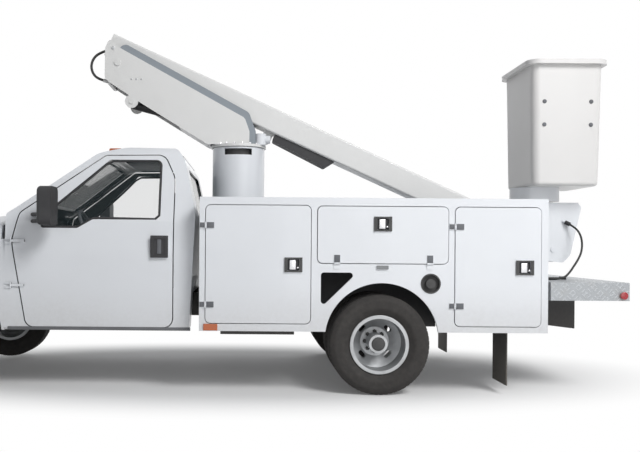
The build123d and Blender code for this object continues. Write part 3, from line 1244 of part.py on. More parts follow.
# Platform: a bracket on the levelling pin, a tongue under the bucket, and the bucket itself
BRACKET_Y = INNER_WIDTH / 2 + 6
BRACKET_WALL = 12
BRACKET_TOP = 1610
bracket_rows = (
    # behind the levelling pin, height above it, corner radius
    (-66, -104, 30), (94, -124, 40), (157, -55, 40), (262, 398, 30), (228, BRACKET_TOP - LEVEL_PIN_Z, 0),
    (-246, BRACKET_TOP - LEVEL_PIN_Z, 0), (-246, 331, 40), (-90, 120, 120),
)
TONGUE = (454, 340, 127)
TONGUE_AHEAD = 138
ROTATOR_R = 90
TONGUE_GAP = 13
CABLE_R = 9
GLAND_R = 14
GLAND_LENGTH = 50
deck_z = CARGO_Z + CABLE_R + SEAT_GAP
cable_rows = (
    # behind the levelling pin, across, height
    (120, -150, 1415), (165, -185, 1385), (190, -255, 1325), (172, -350, 1240), (115, -465, 1150), (35, -580, 1085),
    (-45, -680, 1030), (-110, -745, 975), (-165, -775, 935), (-230, -772, deck_z), (-285, -735, deck_z),
    (-300, -670, deck_z), (-265, -610, deck_z), (-200, -590, deck_z), (-135, -615, deck_z),
)
cable_path = [Vector(LEVEL_PIN_X + x, y, z) for x, y, z in cable_rows]
with BuildPart() as platform_bracket:
    for side in (-1, 1):
        with BuildSketch(Plane.XZ.offset(-side * BRACKET_Y)):
            outline([(LEVEL_PIN_X + x, LEVEL_PIN_Z + z, radius) for x, z, radius in bracket_rows])
        extrude(amount=-side * BRACKET_WALL)
    with Locations((LEVEL_PIN_X - 9, 0, BRACKET_TOP - BRACKET_WALL / 2)):
        Box(474, 2 * BRACKET_Y, BRACKET_WALL)
    with BuildSketch(Plane.XZ):
        outline((
            (LEVEL_PIN_X + 170, LEVEL_PIN_Z - 40, 0), (LEVEL_PIN_X + 262, LEVEL_PIN_Z + 380, 0),
            (LEVEL_PIN_X + 250, LEVEL_PIN_Z + 380, 0), (LEVEL_PIN_X + 158, LEVEL_PIN_Z - 40, 0),
        ))
    extrude(amount=BRACKET_Y, both=True)
    with Locations((LEVEL_PIN_X, 0, LEVEL_PIN_Z)):
        Cylinder(LEVEL_PIN_R, 2 * (BRACKET_Y + BRACKET_WALL + 8), rotation=(90, 0, 0))
    with BuildSketch(Plane.XY.offset(BRACKET_TOP)):
        with Locations((LEVEL_PIN_X - TONGUE_AHEAD - 28, 0)):
            Circle(ROTATOR_R)
    extrude(amount=TONGUE_GAP)
    with BuildSketch(Plane.XY.offset(BRACKET_TOP + TONGUE_GAP)):
        with Locations((LEVEL_PIN_X - TONGUE_AHEAD, 0)):
            SlotOverall(TONGUE[0], TONGUE[1])
    extrude(amount=BUCKET_Z[0] - BRACKET_TOP - TONGUE_GAP)
    gland = fitting_plane(cable_path[0], cable_path[1])
    with BuildSketch(gland):
        Circle(GLAND_R)
    extrude(amount=-GLAND_LENGTH)
write(platform_bracket, "platform_bracket")
write(cord_tube(cable_path, CABLE_R), "deck_cable")

BUCKET_TAPER = 40
BUCKET_CORNER = 70
LIP_DEPTH = 40


def bucket_form(inset, bottom_z, top_z):
    """A tapered tub with rounded corners, drawn in by an inset."""
    with BuildPart() as tub:
        for z, shrink in ((bottom_z, BUCKET_TAPER), (top_z, 0)):
            with BuildSketch(Plane.XY.offset(z)):
                with Locations((BUCKET_X, 0)):
                    length = BUCKET_LENGTH - shrink - 2 * inset
                    width = BUCKET_WIDTH - shrink - 2 * inset
                    RectangleRounded(length, width, BUCKET_CORNER - inset)
        loft()
    return tub


with BuildPart() as bucket:
    add(bucket_form(0, *BUCKET_Z).part)
    fillet(bucket.faces().sort_by(Axis.Z)[0].edges(), BUCKET_CORNER / 2)
    with BuildSketch(Plane.XY.offset(BUCKET_Z[1])):
        with Locations((BUCKET_X, 0)):
            RectangleRounded(BUCKET_LENGTH + 2 * BUCKET_LIP, BUCKET_WIDTH + 2 * BUCKET_LIP, BUCKET_CORNER + BUCKET_LIP)
    extrude(amount=-LIP_DEPTH)
    add(bucket_form(BUCKET_WALL, BUCKET_Z[0] + BUCKET_WALL, BUCKET_Z[1] + 1).part, mode=Mode.SUBTRACT)
write(bucket, "bucket")
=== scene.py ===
"""Looks of the cherry picker truck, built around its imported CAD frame. Metres, +Z up, front towards -X."""
import json
from math import cos, pi, radians, sin

import bpy
from bpy.props import FloatProperty, FloatVectorProperty, IntProperty, PointerProperty
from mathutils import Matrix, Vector


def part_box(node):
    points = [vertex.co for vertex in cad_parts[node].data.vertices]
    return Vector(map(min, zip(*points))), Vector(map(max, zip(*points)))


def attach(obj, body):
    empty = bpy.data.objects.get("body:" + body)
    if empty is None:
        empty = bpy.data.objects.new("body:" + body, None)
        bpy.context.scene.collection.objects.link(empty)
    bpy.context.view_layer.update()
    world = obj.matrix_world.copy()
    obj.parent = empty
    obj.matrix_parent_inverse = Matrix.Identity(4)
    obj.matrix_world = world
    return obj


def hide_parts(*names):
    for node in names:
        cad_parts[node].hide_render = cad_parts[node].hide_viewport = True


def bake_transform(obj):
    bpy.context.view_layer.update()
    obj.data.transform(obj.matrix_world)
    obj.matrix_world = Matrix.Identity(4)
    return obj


bl_info = {
    "name": "Cherry picker truck",
    "version": (1, 0, 0),
    "blender": (4, 5, 0),
    "location": "View3D > Sidebar > Truck",
    "description": "Dresses the truck's CAD frame with tread, fittings, hoses and paint",
    "category": "Object",
}

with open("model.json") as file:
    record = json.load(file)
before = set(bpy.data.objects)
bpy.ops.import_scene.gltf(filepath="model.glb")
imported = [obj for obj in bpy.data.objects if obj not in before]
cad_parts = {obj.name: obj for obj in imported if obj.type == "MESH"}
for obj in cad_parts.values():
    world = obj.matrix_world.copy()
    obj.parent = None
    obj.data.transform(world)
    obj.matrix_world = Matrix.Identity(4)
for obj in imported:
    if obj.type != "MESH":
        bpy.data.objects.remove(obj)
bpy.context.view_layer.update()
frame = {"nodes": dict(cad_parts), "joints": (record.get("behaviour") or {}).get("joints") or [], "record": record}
JOINTS = {joint["name"]: joint for joint in frame["joints"]}
PIVOT = Vector(JOINTS["boom_raise"]["pos_m"])
LEVEL_PIN = Vector(JOINTS["platform_level"]["pos_m"])
SLEW = Vector(JOINTS["turret_slew"]["pos_m"])
REAR_AXLE_X = JOINTS["rear_wheels_left_spin"]["pos_m"][0]
SIDES = (("left", -1), ("right", 1))
BODY_SIDE_Y = 1.195

# Nodes whose finish differs from their slot's; the cab and its doors get paint with painted shade on their inner
# faces
NODE_FINISHES = {"cab_shell": "lined_paint", "cab_door_left": "lined_paint", "cab_door_right": "lined_paint",
                 "fuel_filler": "cast_iron", "marker_lamps": "marker", "cab_glass": "tinted_glass"}
# Colour of the painted shade on the cab's inner faces, standing in for the shade inside the cab
INSIDE_SHADE = (0.018, 0.026, 0.032)
ROAD_DUST = (0.36, 0.33, 0.29)
LENS_DARK = 0.55
LENS_RIBS = 160.0 / 6

# Sockets of the colour mixing node
MIX_SHARE, MIX_FIRST, MIX_SECOND, MIX_RESULT = 0, 6, 7, 2


# Shader building


class Value:
    """A shader output that takes part in sums and products."""

    def __init__(self, shader, socket):
        self.shader, self.socket = shader, socket

    def _join(self, operation, first, second):
        return self.shader.add("ShaderNodeMath", {"operation": operation}, {0: first, 1: second}).out(0)

    def __add__(self, other):
        return self._join("ADD", self, other)

    def __radd__(self, other):
        return self._join("ADD", other, self)

    def __sub__(self, other):
        return self._join("SUBTRACT", self, other)

    def __mul__(self, other):
        return self._join("MULTIPLY", self, other)

    def clamp(self):
        return self.shader.add("ShaderNodeClamp", {}, {"Value": self}).out(0)


class Added:
    """A node that was just added, with its outputs as values."""

    def __init__(self, shader, node):
        self.shader, self.node = shader, node

    def out(self, key):
        return Value(self.shader, self.node.outputs[key])


class Finish:
    """One material, built from nodes on object coordinates."""

    def __init__(self, name):
        self.material = bpy.data.materials.new(name)
        self.material.use_nodes = True
        self.tree = self.material.node_tree
        self.principled = self.tree.nodes["Principled BSDF"]
        self.place = self.add("ShaderNodeTexCoord", {}, {}).out("Object")

    def add(self, kind, settings, sockets):
        node = self.tree.nodes.new(kind)
        for key, value in settings.items():
            setattr(node, key, value)
        for key, value in sockets.items():
            self.feed(node.inputs[key], value)
        return Added(self, node)

    def feed(self, socket, value):
        if isinstance(value, Value):
            self.tree.links.new(value.socket, socket)
        else:
            socket.default_value = value

    def set(self, **sockets):
        for key, value in sockets.items():
            self.feed(self.principled.inputs[key.replace("_", " ")], value)
        return self

    def noise(self, scale, detail=3.0, roughness=0.55, where=None):
        sockets = {"Vector": where or self.place, "Scale": scale, "Detail": detail, "Roughness": roughness}
        return self.add("ShaderNodeTexNoise", {}, sockets).out("Fac")

    def wave(self, direction, scale, where=None):
        sockets = {"Vector": where or self.place, "Scale": scale}
        return self.add("ShaderNodeTexWave", {"bands_direction": direction}, sockets).out("Fac")

    def vector(self, operation, *values):
        return self.add("ShaderNodeVectorMath", {"operation": operation}, dict(enumerate(values)))

    def stretched(self, scale):
        return self.add("ShaderNodeMapping", {}, {"Vector": self.place, "Scale": scale}).out(0)

    def band(self, value, low, high):
        sockets = {"Value": value, "From Min": low, "From Max": high}
        return self.add("ShaderNodeMapRange", {"interpolation_type": "SMOOTHSTEP"}, sockets).out(0)

    def height(self):
        return self.add("ShaderNodeSeparateXYZ", {}, {0: self.place}).out("Z")

    def mix(self, share, first, second):
        node = self.tree.nodes.new("ShaderNodeMix")
        node.data_type = "RGBA"
        self.feed(node.inputs[MIX_SHARE], share)
        for key, colour in ((MIX_FIRST, first), (MIX_SECOND, second)):
            self.feed(node.inputs[key], colour if isinstance(colour, Value) else (*colour, 1))
        return Value(self, node.outputs[MIX_RESULT])

    def bump(self, height, strength, distance):
        sockets = {"Height": height, "Strength": strength, "Distance": distance}
        self.set(Normal=self.add("ShaderNodeBump", {}, sockets).out(0))
        return self


def scaled(colour, share):
    return tuple(c * share for c in colour)


def paint(name, colour, roughness=0.28, coat=0.4, dust=0.5, dust_colour=ROAD_DUST, inside_shade_round=None):
    """Sprayed paint with clouding, orange peel and low road dust; painted shade, a dark colour, on faces turned to
    a point.
    """
    look = Finish(name)
    cloud = look.noise(1.7)
    speck = look.noise(38.0, 5.0)
    low = look.band(look.height() + cloud * 0.35, 1.15, 0.45)
    grime = (low * (speck * 0.7 + 0.25) * dust).clamp()
    shade = look.mix(look.band(cloud, 0.3, 0.75) * 0.5, colour, scaled(colour, 0.94))
    shade = look.mix(grime, shade, dust_colour)
    # Painted shade: faces turned to the point (the cab's inner faces) are darkened towards the shade colour
    if inside_shade_round:
        facing = look.add("ShaderNodeTexCoord", {}, {}).out("Normal")
        outward = look.vector("SUBTRACT", look.place, inside_shade_round).out(0)
        turned = look.vector("DOT_PRODUCT", facing, outward).out("Value")
        shade = look.mix(look.band(turned, 0.0, -0.08), shade, INSIDE_SHADE)
    look.set(Base_Color=shade, Roughness=roughness + cloud * 0.08 + grime * 0.4, Coat_Weight=coat)
    return look.bump(look.noise(420.0, 1.0), 0.05, 0.0006).material


def moulded(name, colour, roughness=0.55, grain=650.0):
    """Moulded plastic or rubber with a fine grain and slightly faded patches."""
    look = Finish(name)
    patch = look.noise(4.0, 4.0)
    faded = tuple(min(1.0, c * 1.35 + 0.012) for c in colour)
    dust = look.band(look.height() + patch * 0.2, 0.8, 0.2) * 0.25
    tone = look.mix(look.band(patch, 0.35, 0.8), colour, faded)
    look.set(Base_Color=look.mix(dust, tone, (0.30, 0.27, 0.23)), Roughness=roughness + patch * 0.15)
    return look.bump(look.noise(grain, 2.0), 0.12, 0.0008).material


def bare_metal(name, colour, roughness=0.35, streak=(3.0, 3.0, 60.0)):
    """Bare or galvanised metal with drawn streaks and dull blotches."""
    look = Finish(name)
    lines = look.noise(6.0, 6.0, 0.6, look.stretched(streak))
    blotch = look.noise(9.0, 5.0)
    look.set(Base_Color=look.mix(look.band(blotch, 0.35, 0.7) * 0.6, colour, scaled(colour, 0.72)),
             Roughness=roughness + lines * 0.18 + blotch * 0.1, Metallic=0.85)
    return look.bump(lines, 0.06, 0.0008).material


def tread_plate(name, colour):
    """Galvanised tread plate: short raised bars that lie in two directions, dusty between them."""
    look = Finish(name)
    split = look.add("ShaderNodeSeparateXYZ", {}, {0: look.place})
    unfolded = {0: split.out("X"), 1: split.out("Y") + split.out("Z")}
    flat = look.add("ShaderNodeCombineXYZ", {}, unfolded).out(0)
    bars = []
    for turn, shift in ((45, 0.011), (-45, 0.0)):
        sockets = {"Vector": flat, "Rotation": (0, 0, radians(turn)), "Location": (shift, 0, 0)}
        at = look.add("ShaderNodeMapping", {}, sockets).out(0)
        along = look.band(look.wave("X", 10.0, at), 0.72, 0.9)
        bars.append(along * look.band(look.wave("Y", 4.0, at), 0.45, 0.65))
    raised = (bars[0] + bars[1]).clamp()
    blotch = look.noise(7.0, 5.0)
    worn = look.mix(raised * 0.6, scaled(colour, 0.78), colour)
    look.set(Base_Color=look.mix(look.band(blotch, 0.5, 0.8) * 0.4, worn, (0.40, 0.38, 0.35)),
             Roughness=0.42 + blotch * 0.2 - raised * 0.1, Metallic=0.7)
    return look.bump(raised, 0.5, 0.003).material


def clear_glass(name, colour, alpha):
    """Tinted see-through glass with a faint film of dust."""
    look = Finish(name)
    film = look.band(look.noise(2.2, 2.0), 0.35, 0.75)
    look.set(Base_Color=look.mix(film * 0.25, colour, scaled(colour, 1.6)), Roughness=0.03 + film * 0.05,
             Alpha=alpha, Coat_Weight=0.3)
    return look.material


def lens(name, colour, middle=None):
    """Ribbed lamp lens, with another colour for lamps at the middle height if one is given."""
    look = Finish(name)
    dark = scaled(colour, LENS_DARK)
    if middle:
        share = look.band(look.height(), 0.80, 0.85) * look.band(look.height(), 1.5, 1.45)
        colour = look.mix(share, colour, middle)
        dark = look.mix(share, dark, scaled(middle, LENS_DARK))
    lines = look.wave("Y", LENS_RIBS)
    look.set(Base_Color=look.mix(lines * 0.35, colour, dark), Roughness=0.12 + lines * 0.08, Coat_Weight=0.8)
    return look.bump(lines, 0.25, 0.001).material


def rolled_rubber(name):
    """Road tyre rubber, brownish grey with dust in its low places."""
    look = Finish(name)
    dust = look.noise(22.0, 6.0)
    patch = look.noise(3.0, 2.0)
    clean, dusty = (0.024, 0.022, 0.021), (0.060, 0.054, 0.049)
    look.set(Base_Color=look.mix(look.band(dust, 0.3, 0.8) * 0.4, clean, dusty), Roughness=0.72 + patch * 0.2)
    return look.bump(dust, 0.2, 0.001).material


def cloth(name, colour):
    """Woven seat cloth."""
    look = Finish(name)
    thread = look.wave("Y", 90.0) * look.wave("X", 90.0)
    look.set(Base_Color=look.mix(thread, scaled(colour, 0.6), colour), Roughness=0.85 + thread * 0.1)
    return look.bump(thread, 0.3, 0.001).material


# Sizes and colours that a user would change


def colour_prop(name, default):
    return FloatVectorProperty(name=name, description=f"{name} colour", subtype="COLOR", size=3, min=0, max=1,
                               default=default)


def length_prop(name, description, default):
    return FloatProperty(name=name, description=description, default=default, unit="LENGTH")


class TruckPaint(bpy.types.PropertyGroup):
    """Colours of the truck's finishes."""
    body: colour_prop("Body paint", (0.74, 0.76, 0.79))
    boom: colour_prop("Boom paint", (0.73, 0.73, 0.72))
    # Painted shade: a blue-grey that stands in for the white paint in shade
    liner: colour_prop("Turret liner", (0.25, 0.28, 0.31))
    bucket: colour_prop("Bucket shell", (0.71, 0.70, 0.69))
    black: colour_prop("Chassis black", (0.018, 0.018, 0.020))
    rim: colour_prop("Wheel steel", (0.46, 0.47, 0.48))
    amber: colour_prop("Amber lens", (0.52, 0.11, 0.02))


class TruckSizes(bpy.types.PropertyGroup):
    """Sizes of the fittings."""
    tread_depth: length_prop("Tread depth", "Height of the tread blocks", 0.005)
    tread_blocks: IntProperty(name="Tread blocks", description="Blocks round a tyre", default=64, min=24,
                              max=96)
    nut_size: length_prop("Wheel nut", "Width of a wheel nut", 0.034)
    paddle: length_prop("Latch paddle", "Width of a latch paddle", 0.05)


# Modelling helpers

# Rotation that lays a cylinder across the truck, and where level rays start beside it
ACROSS = (pi / 2, 0, 0)
RAY_START_Y = 2.0
FINISHES = {}


def clear_selection():
    if bpy.context.object and bpy.context.object.mode != "OBJECT":
        bpy.ops.object.mode_set(mode="OBJECT")
    bpy.ops.object.select_all(action="DESELECT")


def settle(name, body, slot, angle=35, finish=None):
    """Finish the active object: place in its mesh, shading, its slot's material or another, and body."""
    piece = bpy.context.object
    if piece.mode != "OBJECT":
        bpy.ops.object.mode_set(mode="OBJECT")
    bpy.ops.object.transform_apply(location=True, rotation=True, scale=True)
    piece.name = name
    piece.data.materials.clear()
    piece.data.materials.append(FINISHES[finish or slot])
    bpy.ops.object.shade_smooth_by_angle(angle=radians(angle))
    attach(piece, body)
    return piece


def round_edges(edge, segments):
    """Round every edge of the active object."""
    bpy.ops.object.mode_set(mode="EDIT")
    bpy.ops.mesh.select_all(action="SELECT")
    bpy.ops.mesh.bevel(offset=edge, segments=segments, affect="EDGES")
    bpy.ops.object.mode_set(mode="OBJECT")


def rounded_box(at, size, edge, segments=2):
    """A box at its place with its edges rounded, left active."""
    clear_selection()
    bpy.ops.mesh.primitive_cube_add(size=1, location=at)
    piece = bpy.context.object
    piece.scale = size
    bpy.ops.object.transform_apply(scale=True)
    round_edges(edge, segments)
    return piece


def rounded_cylinder(corners, radius, depth, at, rotation, edge, segments):
    """A cylinder or prism at its place with its edges rounded, left active."""
    clear_selection()
    bpy.ops.mesh.primitive_cylinder_add(vertices=corners, radius=radius, depth=depth, location=at,
                                        rotation=rotation)
    round_edges(edge, segments)
    return bpy.context.object


def turned_to(direction):
    """Rotation that turns a cylinder's axis to a direction."""
    return direction.to_track_quat("Z", "Y").to_euler()


def join_active(pieces):
    clear_selection()
    for piece in pieces:
        piece.select_set(True)
    bpy.context.view_layer.objects.active = pieces[0]
    bpy.ops.object.join()


def side_middle(name):
    """Middle of a node's box in the side view."""
    low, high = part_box(name)
    return Vector(((low.x + high.x) / 2, 0, (low.z + high.z) / 2))


def side_hit(node, x, z, side):
    """Spot and normal where a level ray from one side meets a node, or None where it meets nothing."""
    found, spot, normal, _ = node.ray_cast(Vector((x, RAY_START_Y * side, z)), Vector((0, -side, 0)))
    return (spot, normal) if found else None


def side_face(node, x, z, side):
    """Spot and normal as from side_hit, for a fitting that has to sit on something."""
    hit = side_hit(node, x, z, side)
    if not hit:
        raise RuntimeError(f"no face of {node.name} at x {x:.3f}, z {z:.3f}")
    return hit


def curve_object(name, kind, places, radius, roundness):
    """A round-bodied curve with the places as its points, and its spline."""
    curve = bpy.data.curves.new(name, "CURVE")
    curve.dimensions = "3D"
    curve.resolution_u = 12
    curve.bevel_depth = radius
    curve.bevel_resolution = roundness
    spline = curve.splines.new(kind)
    spline.points.add(len(places) - 1)
    for point, place in zip(spline.points, places):
        point.co = (*place, 1)
    piece = bpy.data.objects.new(name, curve)
    bpy.context.scene.collection.objects.link(piece)
    return piece, spline


def route_curve(name, places, radius):
    """An open NURBS spline with the route's points as its control points."""
    piece, spline = curve_object(name, "NURBS", places, radius, 5)
    spline.order_u = 3
    spline.use_endpoint_u = True
    piece.data.use_fill_caps = True
    return piece


def curve_to_mesh(piece):
    clear_selection()
    piece.select_set(True)
    bpy.context.view_layer.objects.active = piece
    bpy.ops.object.convert(target="MESH")
    return bpy.context.object


def make_finishes(colours):
    """Every finish of the truck, most of them by the record's slot."""
    body, boom, black = tuple(colours.body), tuple(colours.boom), tuple(colours.black)
    cab_low, cab_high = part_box("cab_shell")
    FINISHES.update({
        "white_paint": paint("white_body_paint", body),
        # The cab's paint, with painted shade on its inner faces
        "lined_paint": paint("lined_cab_paint", body, inside_shade_round=tuple((cab_low + cab_high) / 2)),
        "boom_paint": paint("boom_paint", boom, 0.42, 0.15, 0.2),
        # Painted shade: the liner colour is the blue-grey of white paint in shade
        "liner_paint": paint("liner_paint", tuple(colours.liner), 0.45, 0.1, 0.2),
        "bucket_shell": paint("bucket_gel_coat", tuple(colours.bucket), 0.38, 0.25, 0.25),
        "black_paint": paint("chassis_black", black, 0.5, 0.1, 0.7, (0.11, 0.10, 0.09)),
        "black_plastic": moulded("black_plastic", (0.020, 0.020, 0.022)),
        "grey_trim": moulded("grey_trim", (0.10, 0.105, 0.115)),
        "seat_cloth": cloth("seat_cloth", (0.20, 0.21, 0.23)),
        "tyre": rolled_rubber("tyre_rubber"),
        "wheel_steel": bare_metal("wheel_steel", tuple(colours.rim), 0.4, (8.0, 60.0, 8.0)),
        "cast_iron": bare_metal("cast_iron", (0.10, 0.10, 0.10), 0.6),
        "tread_plate": tread_plate("tread_plate", (0.46, 0.48, 0.50)),
        "rod_chrome": bare_metal("rod_chrome", (0.78, 0.78, 0.80), 0.12),
        "glass": clear_glass("door_glass", (0.10, 0.14, 0.15), 0.07),
        "tinted_glass": clear_glass("windscreen_glass", (0.016, 0.042, 0.046), 0.72),
        "lamp": lens("headlamp_lens", (0.70, 0.74, 0.78)),
        "amber": lens("amber_lens", tuple(colours.amber)),
        "marker": lens("marker_lens", tuple(colours.amber), middle=(0.16, 0.17, 0.18)),
        "red": lens("red_lens", (0.42, 0.01, 0.02)),
        "rubber": moulded("hose_rubber", (0.016, 0.016, 0.016), 0.6, 500.0),
    })


# Operators


class TRUCK_OT_finishes(bpy.types.Operator):
    """Give every CAD node its procedural finish"""
    bl_idname = "truck.finishes"
    bl_label = "Finishes"

    def execute(self, context):
        make_finishes(context.scene.truck_paint)
        for row in frame["record"]["subparts"]:
            node = frame["nodes"][row["node"]]
            node.data.materials.clear()
            node.data.materials.append(FINISHES[NODE_FINISHES.get(row["node"], row["material_slot"])])
        return {"FINISHED"}


# Routes as in the source, in mm: behind the pivot, across and up; behind the levelling pin, across and height
HOSE_ROWS = (
    (-140, -35, 140), (-208, -45, 112), (-254, -57, 55), (-269, -70, -15), (-249, -83, -84),
    (-200, -95, -136), (-140, -105, -154),
)
DECK_Z = 920.3
CABLE_ROWS = (
    (120, -150, 1415), (165, -185, 1385), (190, -255, 1325), (172, -350, 1240), (115, -465, 1150),
    (35, -580, 1085), (-45, -680, 1030), (-110, -745, 975), (-165, -775, 935), (-230, -772, DECK_Z),
    (-285, -735, DECK_Z), (-300, -670, DECK_Z), (-265, -610, DECK_Z), (-200, -590, DECK_Z),
    (-135, -615, DECK_Z),
)

# The connector reaches past the cable's end, and is raised because it is thicker than the cable
CONNECTOR_REACH = 0.018
CONNECTOR_RAISE = Vector((0, 0, 0.0042))


class TRUCK_OT_cords(bpy.types.Operator):
    """Hose loop at the boom's tail and the cable that hangs onto the tail deck"""
    bl_idname = "truck.cords"
    bl_label = "Hose and cable"

    def execute(self, context):
        hose_points = [Vector((PIVOT.x + x / 1000, y / 1000, PIVOT.z + z / 1000)) for x, y, z in HOSE_ROWS]
        line = route_curve("hose_line", hose_points, 0)
        context.view_layer.update()
        read = bpy.data.meshes.new_from_object(line.evaluated_get(context.evaluated_depsgraph_get()))
        bpy.data.objects.remove(line)
        hose = curve_to_mesh(route_curve("boom_hose_loop", hose_points, 0.012))
        hose.data.materials.append(FINISHES["rubber"])
        bpy.ops.object.shade_smooth()
        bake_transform(hose)
        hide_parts("boom_hose")
        cable_points = [Vector((LEVEL_PIN.x + x / 1000, y / 1000, z / 1000)) for x, y, z in CABLE_ROWS]
        cable = route_curve("deck_cable_run", cable_points, 0.009)
        cable.data.materials.append(FINISHES["rubber"])
        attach(cable, "platform")
        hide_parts("deck_cable")
        run = (cable_points[-1] - cable_points[-2]).normalized()
        connector_at = cable_points[-1] + run * CONNECTOR_REACH + CONNECTOR_RAISE
        rounded_cylinder(24, 0.013, 0.060, connector_at, turned_to(run), 0.003, 3)
        plug = settle("cable_connector", "platform", "black_plastic")
        start = (cable_points[1] - cable_points[0]).normalized()
        rounded_cylinder(24, 0.019, 0.050, cable_points[0], turned_to(start), 0.004, 3)
        settle("cable_gland", "platform", "black_plastic")
        return {"FINISHED"}


# Wheels: name, body, rims and tyres
WHEELS = (
    ("front", "front_wheel", "front_rim", "front_tyre"),
    ("rear", "rear_wheels", "rear_rims", "rear_tyres"),
)
TYRE_WIDTH = 0.245
TREAD_WIDTH = 0.186
TREAD_ROWS = 5
TREAD_GROOVE = 0.0045
TREAD_SLANT = 0.35
TREAD_SUNK = 0.0012
NUT_COUNT = 8
NUT_CIRCLE = 0.0825
HUB_PROBE = 0.03


class TRUCK_OT_tread(bpy.types.Operator):
    """Tread blocks round every tyre"""
    bl_idname = "truck.tread"
    bl_label = "Tyre tread"

    def ring(self, name, body, centre, radius, sizes):
        """A flat sheet of raised blocks, rolled round a tyre with its rows staggered and slanted."""
        clear_selection()
        length = 2 * pi * radius
        bpy.ops.mesh.primitive_grid_add(x_subdivisions=sizes.tread_blocks, y_subdivisions=TREAD_ROWS, size=1)
        sheet = bpy.context.object
        sheet.scale = (length, TREAD_WIDTH, 1)
        bpy.ops.object.transform_apply(scale=True)
        bpy.ops.object.mode_set(mode="EDIT")
        bpy.ops.mesh.select_all(action="SELECT")
        bpy.ops.mesh.inset(thickness=TREAD_GROOVE, use_individual=True)
        bpy.ops.mesh.extrude_region_move(TRANSFORM_OT_translate={"value": (0, 0, sizes.tread_depth)})
        bpy.ops.object.mode_set(mode="OBJECT")
        row = TREAD_WIDTH / TREAD_ROWS
        for vertex in sheet.data.vertices:
            x, y, z = vertex.co
            odd_row = int((y + TREAD_WIDTH / 2) / row * 0.999) % 2
            stagger = odd_row * length / sizes.tread_blocks / 2
            slant = TREAD_SLANT * (y % row - row / 2)
            angle = (x + stagger + slant) / radius
            reach = radius + z - TREAD_SUNK
            vertex.co = (centre[0] + reach * sin(angle), centre[1] + y, centre[2] + reach * cos(angle))
        bpy.ops.object.mode_set(mode="EDIT")
        bpy.ops.mesh.select_all(action="SELECT")
        bpy.ops.mesh.remove_doubles(threshold=0.0001)
        bpy.ops.mesh.normals_make_consistent(inside=False)
        settle(name, body, "tyre", 25)

    def execute(self, context):
        for side_name, _ in SIDES:
            for kind, body, _, tyres in WHEELS:
                low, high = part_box(f"{tyres}_{side_name}")
                if kind == "front":
                    places = [(low.y + high.y) / 2]
                else:
                    places = [low.y + TYRE_WIDTH / 2, high.y - TYRE_WIDTH / 2]
                for number, y in enumerate(places):
                    centre = ((low.x + high.x) / 2, y, (low.z + high.z) / 2)
                    self.ring(f"{kind}_tread_{side_name}_{number}", f"{body}_{side_name}", centre,
                              (high.z - low.z) / 2, context.scene.truck_sizes)
        return {"FINISHED"}


class TRUCK_OT_wheel_nuts(bpy.types.Operator):
    """Wheel nuts and hub caps on every outer disc"""
    bl_idname = "truck.wheel_nuts"
    bl_label = "Wheel nuts"

    def execute(self, context):
        size = context.scene.truck_sizes.nut_size
        for side_name, side in SIDES:
            for kind, body, rim, _ in WHEELS:
                disc = frame["nodes"][f"{rim}_{side_name}"]
                axis = side_middle(disc.name)
                pieces = []
                for number in range(NUT_COUNT):
                    turn = 2 * pi * number / NUT_COUNT
                    at = axis + Vector((NUT_CIRCLE * sin(turn), 0, NUT_CIRCLE * cos(turn)))
                    spot, _ = side_face(disc, at.x, at.z, side)
                    nut_at = (spot.x, spot.y + side * 0.012, spot.z)
                    pieces.append(rounded_cylinder(6, size / 2, 0.028, nut_at, (pi / 2, turn, 0), 0.003, 2))
                hub = frame["nodes"][f"knuckle_{side_name}" if kind == "front" else "rear_axle"]
                spot, _ = side_face(hub, axis.x + HUB_PROBE, axis.z, side)
                cap_at = (axis.x, spot.y + side * 0.008, axis.z)
                pieces.append(rounded_cylinder(40, 0.054, 0.020, cap_at, ACROSS, 0.006, 3))
                join_active(pieces)
                settle(f"{kind}_wheel_nuts_{side_name}", f"{body}_{side_name}", "cast_iron")
        return {"FINISHED"}


# Latches: door, place behind the rear axle and height
LATCH_ROWS = (("front", -0.697, 1.038), ("middle", 0.014, 1.368), ("rear", 1.145, 1.027))
LATCH_OPENING = 0.094
LATCH_FRAME_GROWTH = (1.51, 1, 1.25)

# Hinge straps: door, place behind the rear axle, height and size
UPRIGHT_HINGE = (0.058, 0.003, 0.046)
LEVEL_HINGE = (0.046, 0.003, 0.058)
HINGE_ROWS = (
    ("front", -1.359, 1.350, UPRIGHT_HINGE), ("front", -1.359, 0.718, UPRIGHT_HINGE),
    ("rear", 0.630, 1.350, UPRIGHT_HINGE), ("rear", 0.630, 0.718, UPRIGHT_HINGE),
    ("middle", -0.349, 1.091, LEVEL_HINGE), ("middle", 0.391, 1.091, LEVEL_HINGE),
)
LEAF_AHEAD = 0.066


